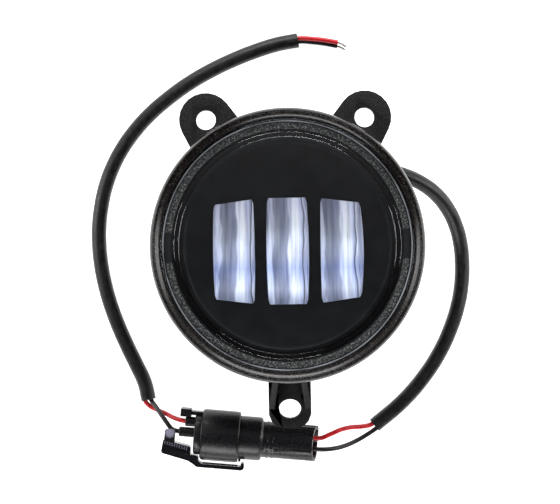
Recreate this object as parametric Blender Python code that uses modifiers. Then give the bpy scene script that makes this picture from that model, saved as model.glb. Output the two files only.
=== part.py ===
"""Round LED fog light with a plugged-in adapter lead, lying on its back.

Frame: +Z is the optical axis and points out of the lens, +Y is up on the car. The origin
is on the optical axis, at the tips of the cooling fins that the lamp lies on. The cords
lie round the lamp on the same plane, z = 0.
"""

from math import cos, pi, radians, sin, sqrt

import bmesh
import bpy
from mathutils import Matrix, Vector

MM = 0.001
GAP = 0.3 * MM          # clearance between pieces that touch
SLACK = 0.4 * MM        # clearance round a cable or a sliding fit
OVERLAP = 0.5 * MM      # how far joined shapes reach into each other
MERGE = 0.00001

# Heat sink: a finned disc with an upright shelf that carries the LED board
BODY_RADIUS = 39 * MM
FIN_HEIGHT = 12 * MM
FIN_THICKNESS = 2 * MM
FIN_PITCH = 6 * MM
SINK_BASE = 4 * MM
SHELF_FACE_Y = 22.3 * MM
SHELF_THICKNESS = 4 * MM
SHELF_FOOT_HALF = 17.5 * MM
SHELF_HALF = 24.5 * MM
SHELF_STEP_Z = 29 * MM
BOARD_POST_RADIUS = 2.5 * MM
BOARD_POST_X = 16 * MM
BOARD_POST_Y = -15 * MM

# Housing: a cast cup with a front flange, two upper ears and a deeper lower ear
GASKET_THICKNESS = 0.8 * MM
FLOOR_THICKNESS = 3 * MM
FLOOR_OPENING = 32 * MM
WALL = 2.5 * MM
BODY_HEIGHT = 24.6 * MM
FLANGE_THICKNESS = 4 * MM
RIM_HEIGHT = 6 * MM
RIM_WIDTH = 3 * MM
LEDGE_WIDTH = 2.7 * MM
LEDGE_DEPTH = 4 * MM
FLARE_HEIGHT = 8 * MM
UPPER_EAR_OUT = 5.3 * MM        # from the trim ring to the pad's centre
UPPER_EAR_ANGLE = radians(58)
UPPER_EAR_RADIUS = 9.9 * MM
UPPER_EAR_FLARE = radians(5.5)
UPPER_HOLE_RADIUS = 3.7 * MM
LOWER_EAR_HALF = 8 * MM
LOWER_EAR_OUT = 19 * MM         # from the trim ring to the ear's end
LOWER_EAR_CORNER = 2.6 * MM
LOWER_EAR_DROP = 10 * MM
LOWER_HOLE_OUT = 11.7 * MM
LOWER_HOLE_HALF_WIDTH = 4.25 * MM
LOWER_HOLE_HALF_HEIGHT = 3.7 * MM
DIMPLE_RADIUS = 1.3 * MM
DIMPLE_X = 5.45 * MM
DIMPLE_OUT = 7 * MM
GUSSET_THICKNESS = 2.2 * MM
GUSSET_SPLAY = radians(8)

# Screws, as shank radii, and where they stand
SINK_SCREW_RADIUS = 1.5 * MM
SINK_SCREW_CIRCLE = 35 * MM
SINK_SCREW_REACH = 9 * MM
SINK_SCREW_ANGLES = [radians(15 + 90 * turn) for turn in range(4)]
SCREW_BOSS_RADIUS = 4 * MM
BEZEL_SCREW_RADIUS = 1.1 * MM
BEZEL_SCREW_INSET = 2.2 * MM
BEZEL_SCREW_ANGLES = [radians(angle) for angle in (20, 160, 200, 340)]
BOARD_SCREW_RADIUS = 1.1 * MM
BOARD_SCREW_REACH = 3.6 * MM
SCREW_HEAD = 1.9               # head radius over shank radius

# Bezel, lens and mask
BEZEL_RADIUS = 50 * MM
BEZEL_FRONT_Z = 59.6 * MM
LENS_RADIUS = 45.5 * MM
LENS_THICKNESS = 2.6 * MM
LENS_FLANGE = 2.5 * MM
LENS_SHOULDER_RADIUS = 39.5 * MM
LENS_CROWN = 3.9 * MM           # how far the crown stands over the flange
BEAD_THICKNESS = 1.0 * MM
BEAD_INSET = 0.3 * MM
MASK_RADIUS = 37.8 * MM
MASK_SINK = 1 * MM              # from the ledge down to the dish's centre
MASK_DISH = 5 * MM
MASK_THICKNESS = 2 * MM
WINDOW_WIDTH = 15.6 * MM
WINDOW_HEIGHT = 39.5 * MM
WINDOW_PITCH = 19.6 * MM
WINDOW_CENTRE_Y = -2 * MM
WINDOW_TOP_RADIUS = 145 * MM
WINDOW_BULGE = 1.8 * MM
WINDOW_BOWS = ((0.3, 0.2), (0.3, 0.4), (0.1, 0.65))    # left and right side, of the bulge

# Reflector and LED board
TROUGH_FOCUS_Y = 18.4 * MM
TROUGH_LIFT = 6.6 * MM          # from the heat sink's base to the trough's lowest line
TROUGH_TOP_SINK = 0.7 * MM      # from the mask's centre down to the trough's highest line
TROUGH_WALL = 2 * MM
TROUGH_RIB_Y = 17.2 * MM
LED_BOARD_THICKNESS = 1.6 * MM
LED_BOARD_HALF = 29.2 * MM
LED_BOARD_TALL = 12.1 * MM
LED_BOARD_SINK = 1.5 * MM
THERMAL_PAD = 0.5 * MM
LED_SIDE = 3.5 * MM
LED_HEIGHT = 0.9 * MM

# Driver board and its parts
DRIVER_HALF = 20 * MM
DRIVER_LOW_Y = -29 * MM
DRIVER_TOP_Y = -12 * MM
DRIVER_OVER_TROUGH = 2.1 * MM
DRIVER_THICKNESS = 1.6 * MM

# Cables, wires and the gland
CABLE_RADIUS = 2.9 * MM
WIRE_RADIUS = 0.9 * MM
STRANDS_RADIUS = 0.45 * MM
GLAND_Y = 28 * MM
GLAND_Z = 24.4 * MM
GLAND_FACE_X = 28.6 * MM
GLAND_BORE = 4.5 * MM
GLAND_STUB_X = 22 * MM
GLAND_HEX = 5.8 * MM
GLAND_HEX_LENGTH = 2.2 * MM
GLAND_THREAD_LENGTH = 2 * MM
GLAND_NOTCH_LOW_Y = 21.5 * MM
NUT_LENGTH = 5 * MM
NUT_WALL = 1.6 * MM
VENT_X = 40 * MM
VENT_SHARE = 0.39               # how far up the body the vent stands
VENT_BOSS_RADIUS = 7 * MM
VENT_CAP_RADIUS = 5.4 * MM
VENT_STEM_RADIUS = 3 * MM

# Connector. Local frame: +X from the plug's mouth to the socket's wires, +Y down the
# lamp, +Z up. Its sections are ovals, flattened along Z.
MOUTH = Vector((10.8, -77.9, 8.7)) * MM
CONNECTOR_HEADING = radians(174.3)
OVAL = 0.86
BARREL_RADIUS = 7 * MM
BARREL_LENGTH = 22 * MM
BARREL_WALL = 1.4 * MM
COLLAR_RADIUS = 8.5 * MM
COLLAR_END = 34.6 * MM
NOSE_RADIUS = 6.6 * MM
NOSE_END = 44 * MM
WEB_START = 12 * MM
WEB_END = 15 * MM
HOOD_RADIUS = 10 * MM
HOOD_START = 31 * MM
HOOD_FLOOR = 44.4 * MM
HOOD_END = 46 * MM
CORE_START = 26 * MM
RING_RADIUS = 8 * MM
RING_END = 48.7 * MM
PIN_SPACING = 4.4 * MM
PIN_WIDTH = 2 * MM
PIN_THICKNESS = 0.8 * MM
PIN_END = 40 * MM
TERMINAL_WALL = 0.6 * MM
TOWER_RADIUS = 1.9 * MM
TOWER_ENDS = {"red": 52.6 * MM, "black": 54.8 * MM}
TOWER_Y = {"red": -4.6 * MM, "black": -0.4 * MM}
WIRE_Y = {"red": -PIN_SPACING / 2, "black": PIN_SPACING / 2}
WIRE_SEAL_LENGTH = 5.7 * MM
MOUTH_SLANT = radians(14)
LUG_HEIGHT = 0.8 * MM
LUG_HALF = 2 * MM
LATCH_HALF = 3.4 * MM
LATCH_PIVOT = Vector((47 * MM, 9.6 * MM, 0))

# Z stations that follow from the sizes above
BASE_TOP_Z = FIN_HEIGHT + SINK_BASE
FLOOR_Z = BASE_TOP_Z + GAP + GASKET_THICKNESS + GAP
FLANGE_Z = FLOOR_Z + BODY_HEIGHT
FLANGE_TOP_Z = FLANGE_Z + FLANGE_THICKNESS
RIM_Z = FLANGE_TOP_Z + RIM_HEIGHT
LEDGE_Z = RIM_Z - LEDGE_DEPTH
BEAD_Z = RIM_Z + GAP
LENS_Z = BEAD_Z + BEAD_THICKNESS + GAP
LENS_FLANGE_Z = LENS_Z + LENS_FLANGE
LOWER_EAR_Z = FLANGE_Z - LOWER_EAR_DROP
VENT_Z = FLOOR_Z + VENT_SHARE * BODY_HEIGHT
MASK_CENTRE_Z = LEDGE_Z - MASK_SINK
LED_BOARD_TOP_Z = MASK_CENTRE_Z - LED_BOARD_SINK
LED_BOARD_LOW_Z = LED_BOARD_TOP_Z - LED_BOARD_TALL
TROUGH_BOTTOM_Z = BASE_TOP_Z + TROUGH_LIFT
TROUGH_LOW_Y = WINDOW_CENTRE_Y - WINDOW_HEIGHT / 2
TROUGH_RISE = MASK_CENTRE_Z - TROUGH_TOP_SINK - TROUGH_BOTTOM_Z
TROUGH_FOCAL = (TROUGH_FOCUS_Y - TROUGH_LOW_Y) ** 2 / (4 * TROUGH_RISE)
DRIVER_Z = TROUGH_BOTTOM_Z + DRIVER_OVER_TROUGH
RIM_RADIUS = LENS_RADIUS - GAP
RIM_INNER = RIM_RADIUS - RIM_WIDTH
LEDGE_RADIUS = RIM_INNER - LEDGE_WIDTH
FLANGE_RADIUS = BEZEL_RADIUS - 0.1 * MM
BEZEL_INNER = LENS_RADIUS + 3 * GAP
BEZEL_SCREW_CIRCLE = BEZEL_RADIUS - BEZEL_SCREW_INSET
UPPER_EAR_REACH = BEZEL_RADIUS + UPPER_EAR_OUT
LOWER_EAR_END = BEZEL_RADIUS + LOWER_EAR_OUT
LOWER_HOLE_Y = BEZEL_RADIUS + LOWER_HOLE_OUT
DIMPLE_Y = BEZEL_RADIUS + DIMPLE_OUT
BODY_INNER = BODY_RADIUS - WALL
CONNECTOR = Matrix.Translation(MOUTH) @ Matrix.Rotation(CONNECTOR_HEADING, 4, "Z")
ALONG_X = Matrix.Rotation(pi / 2, 4, "Y")
ALONG_MINUS_Y = Matrix.Rotation(pi / 2, 4, "X")


def clear_scene():
    """Remove every object, and make the collections for the parts and the cutters."""
    for found in list(bpy.data.objects):
        bpy.data.objects.remove(found)
    parts = bpy.data.collections.new("fog_light")
    cutters = bpy.data.collections.new("cutters")
    cutters.hide_render = True
    for made in (parts, cutters):
        bpy.context.scene.collection.children.link(made)
    return parts, cutters


PARTS, CUTTERS = clear_scene()


def finish(name, code, roughness, metallic=0.0, alpha=1.0):
    """A Principled material from an sRGB hex colour."""
    material = bpy.data.materials.new(name)
    material.use_nodes = True
    shader = material.node_tree.nodes["Principled BSDF"]
    channels = [int(code[start:start + 2], 16) / 255 for start in (0, 2, 4)]
    linear = [((value + 0.055) / 1.055) ** 2.4 if value > 0.04 else value / 12.92 for value in channels]
    shader.inputs["Base Color"].default_value = (*linear, 1.0)
    shader.inputs["Roughness"].default_value = roughness
    shader.inputs["Metallic"].default_value = metallic
    shader.inputs["Alpha"].default_value = alpha
    return material


POWDER_COAT = finish("black_powder_coat", "332d2b", 0.45)
SAND_COAT = finish("black_sand_texture", "1c1c1d", 0.7)
SINK_METAL = finish("black_anodised_aluminium", "202123", 0.5, 0.6)
CLEAR_LENS = finish("clear_polycarbonate", "eef2f4", 0.03, 0.0, 0.2)
BEAD_RUBBER = finish("grey_silicone", "8a8a86", 0.8)
BLACK_RUBBER = finish("black_rubber", "1a1a1a", 0.85)
MASK_PLASTIC = finish("black_mask_plastic", "1e1e20", 0.3)
CHROME = finish("metallised_plastic", "e6e7ec", 0.05, 1.0)
BOARD_WHITE = finish("white_board_coat", "dcdedd", 0.5)
BOARD_GREEN = finish("green_board_coat", "1f5a37", 0.4)
LED_YELLOW = finish("led_phosphor", "e8d24a", 0.4)
PAD_GREY = finish("thermal_pad_grey", "9da3a8", 0.9)
FERRITE = finish("ferrite_grey", "3a3a3d", 0.6)
SLEEVE_BLACK = finish("capacitor_sleeve", "15171c", 0.35)
CHIP_BLACK = finish("chip_epoxy", "101012", 0.6)
STEEL = finish("zinc_plated_steel", "9c9ea2", 0.35, 1.0)
NYLON = finish("black_nylon", "17181a", 0.5)
CONNECTOR_PLASTIC = finish("black_connector_plastic", "1d1d20", 0.42)
SEAL_RUBBER = finish("orange_silicone", "c4561f", 0.7)
BRASS_TIN = finish("tin_plated_brass", "c9c6b8", 0.3, 1.0)
CABLE_PVC = finish("black_cable_pvc", "1c1c1e", 0.5)
RED_PVC = finish("red_wire_pvc", "d2232a", 0.4)
BLACK_PVC = finish("black_wire_pvc", "151517", 0.45)
TINNED = finish("tinned_copper", "b9b6b2", 0.35, 1.0)


def part(name, mesh, material, where=Matrix()):
    """A named sub-part at its place."""
    mesh.materials.clear()
    mesh.materials.append(material)
    made = bpy.data.objects.new(name, mesh)
    made.matrix_world = where
    PARTS.objects.link(made)
    return made


def boolean(target, operation, mesh, where=Matrix()):
    """Join a shape to a part, or cut it out of the part. Returns the shape's own object."""
    tool = bpy.data.objects.new(f"{target.name}_tool_{len(target.modifiers)}", mesh)
    tool.matrix_world = where
    tool.hide_render = True
    tool.display_type = "WIRE"
    CUTTERS.objects.link(tool)
    modifier = target.modifiers.new(tool.name, "BOOLEAN")
    modifier.operation = operation
    modifier.object = tool
    return tool


def join(target, mesh, where=Matrix()):
    return boolean(target, "UNION", mesh, where)


def cut(target, mesh, where=Matrix()):
    return boolean(target, "DIFFERENCE", mesh, where)


def smoothed(mesh):
    mesh.shade_smooth()
    mesh.set_sharp_from_angle(angle=radians(35))
    return mesh


def baked(helper):
    """The evaluated mesh of a helper object, which is then removed."""
    bpy.context.scene.collection.objects.link(helper)
    bpy.context.view_layer.update()
    graph = bpy.context.evaluated_depsgraph_get()
    mesh = bpy.data.meshes.new_from_object(helper.evaluated_get(graph))
    bpy.data.objects.remove(helper)
    welded = bmesh.new()
    welded.from_mesh(mesh)
    bmesh.ops.remove_doubles(welded, verts=welded.verts, dist=MERGE)
    welded.to_mesh(mesh)
    welded.free()
    return mesh


def turned(profile, steps=48, closed=True):
    """A solid of revolution about Z. The profile's (radius, z) points run down its outer side."""
    count = len(profile)
    edges = [(index, (index + 1) % count) for index in range(count if closed else count - 1)]
    mesh = bpy.data.meshes.new("profile")
    mesh.from_pydata([(radius, 0, height) for radius, height in profile], edges, [])
    helper = bpy.data.objects.new("profile", mesh)
    screw = helper.modifiers.new("turn", "SCREW")
    screw.steps = screw.render_steps = steps
    screw.use_merge_vertices = True
    screw.merge_threshold = MERGE
    return smoothed(baked(helper))


def extruded(outline, thickness):
    """A flat outline in XY, extruded to both sides of z = 0."""
    curve = bpy.data.curves.new("outline", "CURVE")
    curve.dimensions = "2D"
    curve.fill_mode = "BOTH"
    curve.extrude = thickness / 2
    spline = curve.splines.new("POLY")
    spline.points.add(len(outline) - 1)
    for point, (x, y) in zip(spline.points, outline):
        point.co = (x, y, 0, 1)
    spline.use_cyclic_u = True
    return baked(bpy.data.objects.new("outline", curve))


def box(low, high):
    """A block between two corners."""
    shape = bmesh.new()
    low, high = Vector(low), Vector(high)
    size = Matrix.Diagonal((*(high - low), 1))
    bmesh.ops.create_cube(shape, size=1, matrix=Matrix.Translation((low + high) / 2) @ size)
    mesh = bpy.data.meshes.new("box")
    shape.to_mesh(mesh)
    shape.free()
    return mesh


def drum(radius, low, high, sides=24, centre=(0, 0), top_radius=None):
    """A cylinder, prism or cone about a line parallel to Z."""
    shape = bmesh.new()
    where = Matrix.Translation((*centre, (low + high) / 2))
    bmesh.ops.create_cone(
        shape, cap_ends=True, segments=sides, radius1=radius,
        radius2=radius if top_radius is None else top_radius, depth=high - low, matrix=where,
    )
    mesh = bpy.data.meshes.new("drum")
    shape.to_mesh(mesh)
    shape.free()
    return smoothed(mesh)


def polar(radius, angle):
    return (radius * cos(angle), radius * sin(angle))


def arc(centre, radius, start, end, count):
    """Points along an arc, both ends included."""
    angles = [start + (end - start) * step / (count - 1) for step in range(count)]
    return [(centre[0] + radius * cos(angle), centre[1] + radius * sin(angle)) for angle in angles]


def pan_screw(shank, reach):
    """A pan-head screw: its head's underside is at z = 0 and its shank points along -Z."""
    head, height = SCREW_HEAD * shank, 1.4 * shank
    profile = [
        (0, height), (0.6 * head, height), (head, 0.5 * height), (head, 0),
        (shank, 0), (shank, -reach + 0.3 * shank), (0.6 * shank, -reach), (0, -reach),
    ]
    return turned(profile, steps=10, closed=False)


def smooth_route(points, spacing):
    """Even points along a smooth curve through a cord's route points."""
    points = [Vector(point) for point in points]
    ends = [2 * points[0] - points[1], *points, 2 * points[-1] - points[-2]]
    fine = []
    for first, second, third, fourth in zip(ends, ends[1:], ends[2:], ends[3:]):
        for step in range(20):
            t = step / 20
            fine.append(0.5 * (
                2 * second + (third - first) * t
                + (2 * first - 5 * second + 4 * third - fourth) * t ** 2
                + (3 * second - first - 3 * third + fourth) * t ** 3
            ))
    fine.append(points[-1])
    travelled = [0.0]
    for before, after in zip(fine, fine[1:]):
        travelled.append(travelled[-1] + (after - before).length)
    count = max(3, round(travelled[-1] / spacing) + 1)
    route, at = [], 0
    for step in range(count):
        goal = travelled[-1] * step / (count - 1)
        while at < len(fine) - 2 and travelled[at + 1] < goal:
            at += 1
        share = (goal - travelled[at]) / (travelled[at + 1] - travelled[at])
        route.append(fine[at].lerp(fine[at + 1], share))
    return route


def cord(name, points, radius, material, sides=2, step=4.5 * MM):
    """A cable or wire: a tube along its route, with a point every few millimetres."""
    curve = bpy.data.curves.new(name, "CURVE")
    curve.dimensions = "3D"
    curve.bevel_depth = radius
    curve.bevel_resolution = sides
    curve.use_fill_caps = True
    route = smooth_route(points, step)
    spline = curve.splines.new("POLY")
    spline.points.add(len(route) - 1)
    for point, where in zip(spline.points, route):
        point.co = (*where, 1)
    curve.materials.append(material)
    made = bpy.data.objects.new(name, curve)
    PARTS.objects.link(made)
    return made


def millimetres(points):
    return [Vector(point) * MM for point in points]


def heatsink():
    """Base disc, parallel fins, board posts and the upright LED shelf, in one casting."""
    sink = part("heatsink", drum(BODY_RADIUS, FIN_HEIGHT, BASE_TOP_Z, 44), SINK_METAL)
    fin_radius = BODY_RADIUS - OVERLAP
    count = int(fin_radius / FIN_PITCH)
    for index in range(-count, count + 1):
        x = index * FIN_PITCH
        half = sqrt(fin_radius ** 2 - (abs(x) + FIN_THICKNESS / 2) ** 2)
        low = (x - FIN_THICKNESS / 2, -half, 0)
        join(sink, box(low, (x + FIN_THICKNESS / 2, half, FIN_HEIGHT + OVERLAP)))
    back = SHELF_FACE_Y + SHELF_THICKNESS
    foot_z = BASE_TOP_Z - OVERLAP
    shelf_foot = box(
        (-SHELF_FOOT_HALF, SHELF_FACE_Y, foot_z), (SHELF_FOOT_HALF, back, SHELF_STEP_Z + OVERLAP))
    join(sink, shelf_foot)
    join(sink, box((-SHELF_HALF, SHELF_FACE_Y, SHELF_STEP_Z), (SHELF_HALF, back, LED_BOARD_TOP_Z)))
    tapped = BOARD_SCREW_RADIUS + GAP
    for side in (-1, 1):
        post = (side * BOARD_POST_X, BOARD_POST_Y)
        join(sink, drum(BOARD_POST_RADIUS, foot_z, DRIVER_Z - GAP, 16, post))
        cut(sink, drum(tapped, DRIVER_Z - 4 * MM, DRIVER_Z, 12, post))
        spot = Matrix.Translation((side * WINDOW_PITCH / 2, SHELF_FACE_Y, led_centre_z()))
        cut(sink, drum(tapped, -SHELF_THICKNESS, OVERLAP, 12), spot @ ALONG_MINUS_Y)
    for angle in SINK_SCREW_ANGLES:
        centre = polar(SINK_SCREW_CIRCLE, angle)
        cut(sink, drum(SCREW_HEAD * SINK_SCREW_RADIUS + 2 * GAP, -OVERLAP, FIN_HEIGHT, 12, centre))
        cut(sink, drum(SINK_SCREW_RADIUS + GAP, FIN_HEIGHT - OVERLAP, BASE_TOP_Z + OVERLAP, 12, centre))


def led_centre_z():
    return (LED_BOARD_LOW_Z + LED_BOARD_TOP_Z) / 2


def heatsink_gasket():
    low, high = BASE_TOP_Z + GAP, FLOOR_Z - GAP
    inner, outer = FLOOR_OPENING + GAP, BODY_RADIUS - OVERLAP
    sheet = turned([(outer, high), (outer, low), (inner, low), (inner, high)], 32)
    gasket = part("heatsink_gasket", sheet, BLACK_RUBBER)
    for angle in SINK_SCREW_ANGLES:
        centre = polar(SINK_SCREW_CIRCLE, angle)
        cut(gasket, drum(SINK_SCREW_RADIUS + GAP, low - MM, high + MM, 12, centre))


def heatsink_screws():
    mesh = pan_screw(SINK_SCREW_RADIUS, SINK_SCREW_REACH + SINK_BASE)
    for index, angle in enumerate(SINK_SCREW_ANGLES, 1):
        x, y = polar(SINK_SCREW_CIRCLE, angle)
        where = Matrix.Translation((x, y, FIN_HEIGHT - GAP)) @ Matrix.Rotation(pi, 4, "X")
        part(f"heatsink_screw_{index}", mesh, STEEL, where)


def upper_ear_outline():
    """A round pad whose straight sides flare towards the lamp, along +X."""
    turn = pi / 2 - UPPER_EAR_FLARE
    pad = arc((UPPER_EAR_REACH, 0), UPPER_EAR_RADIUS, -turn, turn, 12)
    root = FLANGE_RADIUS - 3 * MM
    spread = (UPPER_EAR_REACH - root) * sin(UPPER_EAR_FLARE) + UPPER_EAR_RADIUS
    return [*pad, (root, spread), (root, -spread)]


def lower_ear_outline():
    """A plate with chamfered end corners, along -Y."""
    half, end, corner = LOWER_EAR_HALF, -LOWER_EAR_END, LOWER_EAR_CORNER
    root = -(BODY_RADIUS - OVERLAP)
    return [
        (-half, root), (-half, end + 2 * corner), (-half + 0.4 * corner, end + corner),
        (-half + corner, end + 0.4 * corner), (-half + 2 * corner, end),
        (half - 2 * corner, end), (half - corner, end + 0.4 * corner),
        (half - 0.4 * corner, end + corner), (half, end + 2 * corner), (half, root),
    ]


def housing():
    """Cast cup: outer turned form, ears and bosses joined to it, then cavity and holes cut."""
    outside = [
        (0, RIM_Z), (RIM_RADIUS, RIM_Z), (RIM_RADIUS, FLANGE_TOP_Z), (FLANGE_RADIUS, FLANGE_TOP_Z),
        (FLANGE_RADIUS, FLANGE_Z), (BODY_RADIUS + 5 * MM, FLANGE_Z), (BODY_RADIUS, FLANGE_Z - FLARE_HEIGHT),
        (BODY_RADIUS, FLOOR_Z), (0, FLOOR_Z),
    ]
    cup = part("housing", turned(outside, 48, closed=False), SAND_COAT)
    middle = (FLANGE_Z + FLANGE_TOP_Z) / 2
    for angle in (UPPER_EAR_ANGLE, pi - UPPER_EAR_ANGLE):
        where = Matrix.Translation((0, 0, middle)) @ Matrix.Rotation(angle, 4, "Z")
        join(cup, extruded(upper_ear_outline(), FLANGE_THICKNESS), where)
    plate = Matrix.Translation((0, 0, LOWER_EAR_Z - FLANGE_THICKNESS / 2))
    join(cup, extruded(lower_ear_outline(), FLANGE_THICKNESS), plate)
    join_gussets(cup)
    notch_low = FLOOR_Z + 0.8 * MM
    notch_top = GLAND_Z + GLAND_HEX + SLACK
    boss_low = (GLAND_STUB_X, GLAND_NOTCH_LOW_Y, FLOOR_Z)
    join(cup, box(boss_low, (GLAND_FACE_X, GLAND_Y + 8 * MM, notch_top + MM)))
    cut(cup, box((GLAND_FACE_X, GLAND_NOTCH_LOW_Y, notch_low), (BEZEL_RADIUS, BEZEL_RADIUS, notch_top)))
    vent_boss = drum(VENT_BOSS_RADIUS, BODY_INNER, VENT_X, 24)
    join(cup, vent_boss, Matrix.Translation((0, 0, VENT_Z)) @ ALONG_X.inverted())
    cavity = [
        (0, RIM_Z + MM), (RIM_INNER, RIM_Z + MM), (RIM_INNER, LEDGE_Z), (LEDGE_RADIUS, LEDGE_Z),
        (LEDGE_RADIUS, FLANGE_Z - 4 * MM), (BODY_INNER, FLANGE_Z - FLARE_HEIGHT - 0.6 * MM),
        (BODY_INNER, FLOOR_Z + FLOOR_THICKNESS), (FLOOR_OPENING, FLOOR_Z + FLOOR_THICKNESS),
        (FLOOR_OPENING, FLOOR_Z - MM), (0, FLOOR_Z - MM),
    ]
    hollow = cut(cup, turned(cavity, 48, closed=False))
    notch_inner = (GLAND_FACE_X - WALL, GLAND_NOTCH_LOW_Y - WALL, FLOOR_Z - 2 * MM)
    cut(hollow, box(notch_inner, (BEZEL_RADIUS, BEZEL_RADIUS, notch_top + WALL)))
    boss_top = FLOOR_Z + SINK_SCREW_REACH + MM
    for angle in SINK_SCREW_ANGLES:
        centre = polar(SINK_SCREW_CIRCLE - 0.1 * MM, angle)
        join(cup, drum(SCREW_BOSS_RADIUS, FLOOR_Z, boss_top, 14, centre))
    cut_housing_holes(cup)


def join_gussets(cup):
    """Two splayed ribs that tie the lower ear's plate to the flange."""
    toe, top, root = -LOWER_HOLE_Y, FLANGE_Z + OVERLAP, -(BODY_RADIUS - OVERLAP)
    low = LOWER_EAR_Z - FLANGE_THICKNESS
    outline = [
        (toe, low), (toe, LOWER_EAR_Z + OVERLAP), (-BODY_RADIUS - 9 * MM, top), (root, top), (root, low)]
    upright = Matrix.Rotation(pi / 2, 4, "Z") @ Matrix.Rotation(pi / 2, 4, "X")
    for side in (-1, 1):
        hinge = Matrix.Translation((side * (LOWER_EAR_HALF - GUSSET_THICKNESS / 2), toe, 0))
        splay = hinge @ Matrix.Rotation(side * GUSSET_SPLAY, 4, "Z") @ Matrix.Translation((0, -toe, 0))
        join(cup, extruded(outline, GUSSET_THICKNESS), splay @ upright)


def cut_housing_holes(cup):
    for angle in (UPPER_EAR_ANGLE, pi - UPPER_EAR_ANGLE):
        centre = polar(UPPER_EAR_REACH, angle)
        cut(cup, drum(UPPER_HOLE_RADIUS, FLANGE_Z - MM, FLANGE_TOP_Z + MM, 20, centre))
    low = LOWER_EAR_Z - FLANGE_THICKNESS
    oval = Matrix.Translation((0, -LOWER_HOLE_Y, 0)) @ Matrix.Diagonal(
        (LOWER_HOLE_HALF_WIDTH / MM, LOWER_HOLE_HALF_HEIGHT / MM, 1, 1))
    cut(cup, drum(MM, low - MM, LOWER_EAR_Z + MM, 20), oval)
    for side in (-1, 1):
        cut(cup, drum(DIMPLE_RADIUS, LOWER_EAR_Z - MM, LOWER_EAR_Z + MM, 10, (side * DIMPLE_X, -DIMPLE_Y)))
    for angle in BEZEL_SCREW_ANGLES:
        centre = polar(BEZEL_SCREW_CIRCLE, angle)
        cut(cup, drum(BEZEL_SCREW_RADIUS + GAP, FLANGE_Z - MM, FLANGE_TOP_Z + MM, 8, centre))
    for angle in SINK_SCREW_ANGLES:
        centre = polar(SINK_SCREW_CIRCLE, angle)
        cut(cup, drum(SINK_SCREW_RADIUS + GAP, FLOOR_Z - MM, FLOOR_Z + SINK_SCREW_REACH, 8, centre))
    bore = drum(GLAND_BORE, GLAND_STUB_X - 12 * MM, GLAND_FACE_X + MM, 20)
    cut(cup, bore, Matrix.Translation((0, GLAND_Y, GLAND_Z)) @ ALONG_X)
    vent = drum(VENT_STEM_RADIUS + GAP, BODY_INNER - 3 * MM, VENT_X + MM, 16)
    cut(cup, vent, Matrix.Translation((0, 0, VENT_Z)) @ ALONG_X.inverted())


def bezel_ring():
    """Turned trim ring with a rounded crest and a fine groove, screwed on from behind."""
    inner, low = BEZEL_INNER, FLANGE_TOP_Z + GAP
    skirt = RIM_RADIUS + SLACK
    front, groove = BEZEL_FRONT_Z, BEZEL_RADIUS - 2 * MM
    profile = [
        (groove - 0.25 * MM, front), (groove, front - 0.35 * MM), (groove + 0.25 * MM, front),
        (BEZEL_RADIUS - 0.9 * MM, front - 0.15 * MM), (BEZEL_RADIUS - 0.2 * MM, front - 0.7 * MM),
        (BEZEL_RADIUS, front - 1.6 * MM), (BEZEL_RADIUS, low), (skirt, low),
        (skirt, RIM_Z + OVERLAP), (inner, RIM_Z + 1.2 * MM), (inner, front - 1.4 * MM),
        (inner + 0.5 * MM, front - 0.5 * MM),
    ]
    ring = part("bezel_ring", turned(profile, 44), POWDER_COAT)
    for angle in BEZEL_SCREW_ANGLES:
        centre = polar(BEZEL_SCREW_CIRCLE, angle)
        cut(ring, drum(BEZEL_SCREW_RADIUS + GAP, low - MM, RIM_Z, 8, centre))


def bezel_screws():
    mesh = pan_screw(BEZEL_SCREW_RADIUS, RIM_Z - FLANGE_Z - OVERLAP)
    for index, angle in enumerate(BEZEL_SCREW_ANGLES, 1):
        x, y = polar(BEZEL_SCREW_CIRCLE, angle)
        where = Matrix.Translation((x, y, FLANGE_Z - GAP)) @ Matrix.Rotation(pi, 4, "X")
        part(f"bezel_screw_{index}", mesh, STEEL, where)


def crown(radius):
    """Height of the lens's front over its flange."""
    return LENS_FLANGE_Z + LENS_CROWN - 1.8 * MM * (radius / LENS_SHOULDER_RADIUS) ** 2


def lens():
    """Clear moulding: a low crown, a rounded shoulder and a flat glued flange."""
    shoulder, wall = LENS_SHOULDER_RADIUS, LENS_THICKNESS
    front = [(radius, crown(radius)) for radius in (0, 0.5 * shoulder, 0.8 * shoulder, shoulder)]
    inside = (0.97 * shoulder, 0.8 * shoulder, 0.5 * shoulder, 0)
    back = [(radius, crown(radius) - wall) for radius in inside]
    profile = [
        *front, (shoulder + 1.7 * MM, crown(shoulder) - 0.8 * MM), (shoulder + 2.4 * MM, LENS_FLANGE_Z),
        (LENS_RADIUS, LENS_FLANGE_Z), (LENS_RADIUS, LENS_Z), (shoulder, LENS_Z), *back,
    ]
    part("lens", turned(profile, 40, closed=False), CLEAR_LENS)


def lens_bead():
    inner, outer = RIM_INNER + BEAD_INSET, RIM_RADIUS - BEAD_INSET
    low, high = BEAD_Z, BEAD_Z + BEAD_THICKNESS
    bead = turned([(outer, high), (outer, low), (inner, low), (inner, high)], 40)
    part("lens_gasket", bead, BEAD_RUBBER)


def mask_height(radius):
    return MASK_CENTRE_Z + MASK_DISH * (radius / MASK_RADIUS) ** 2


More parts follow.
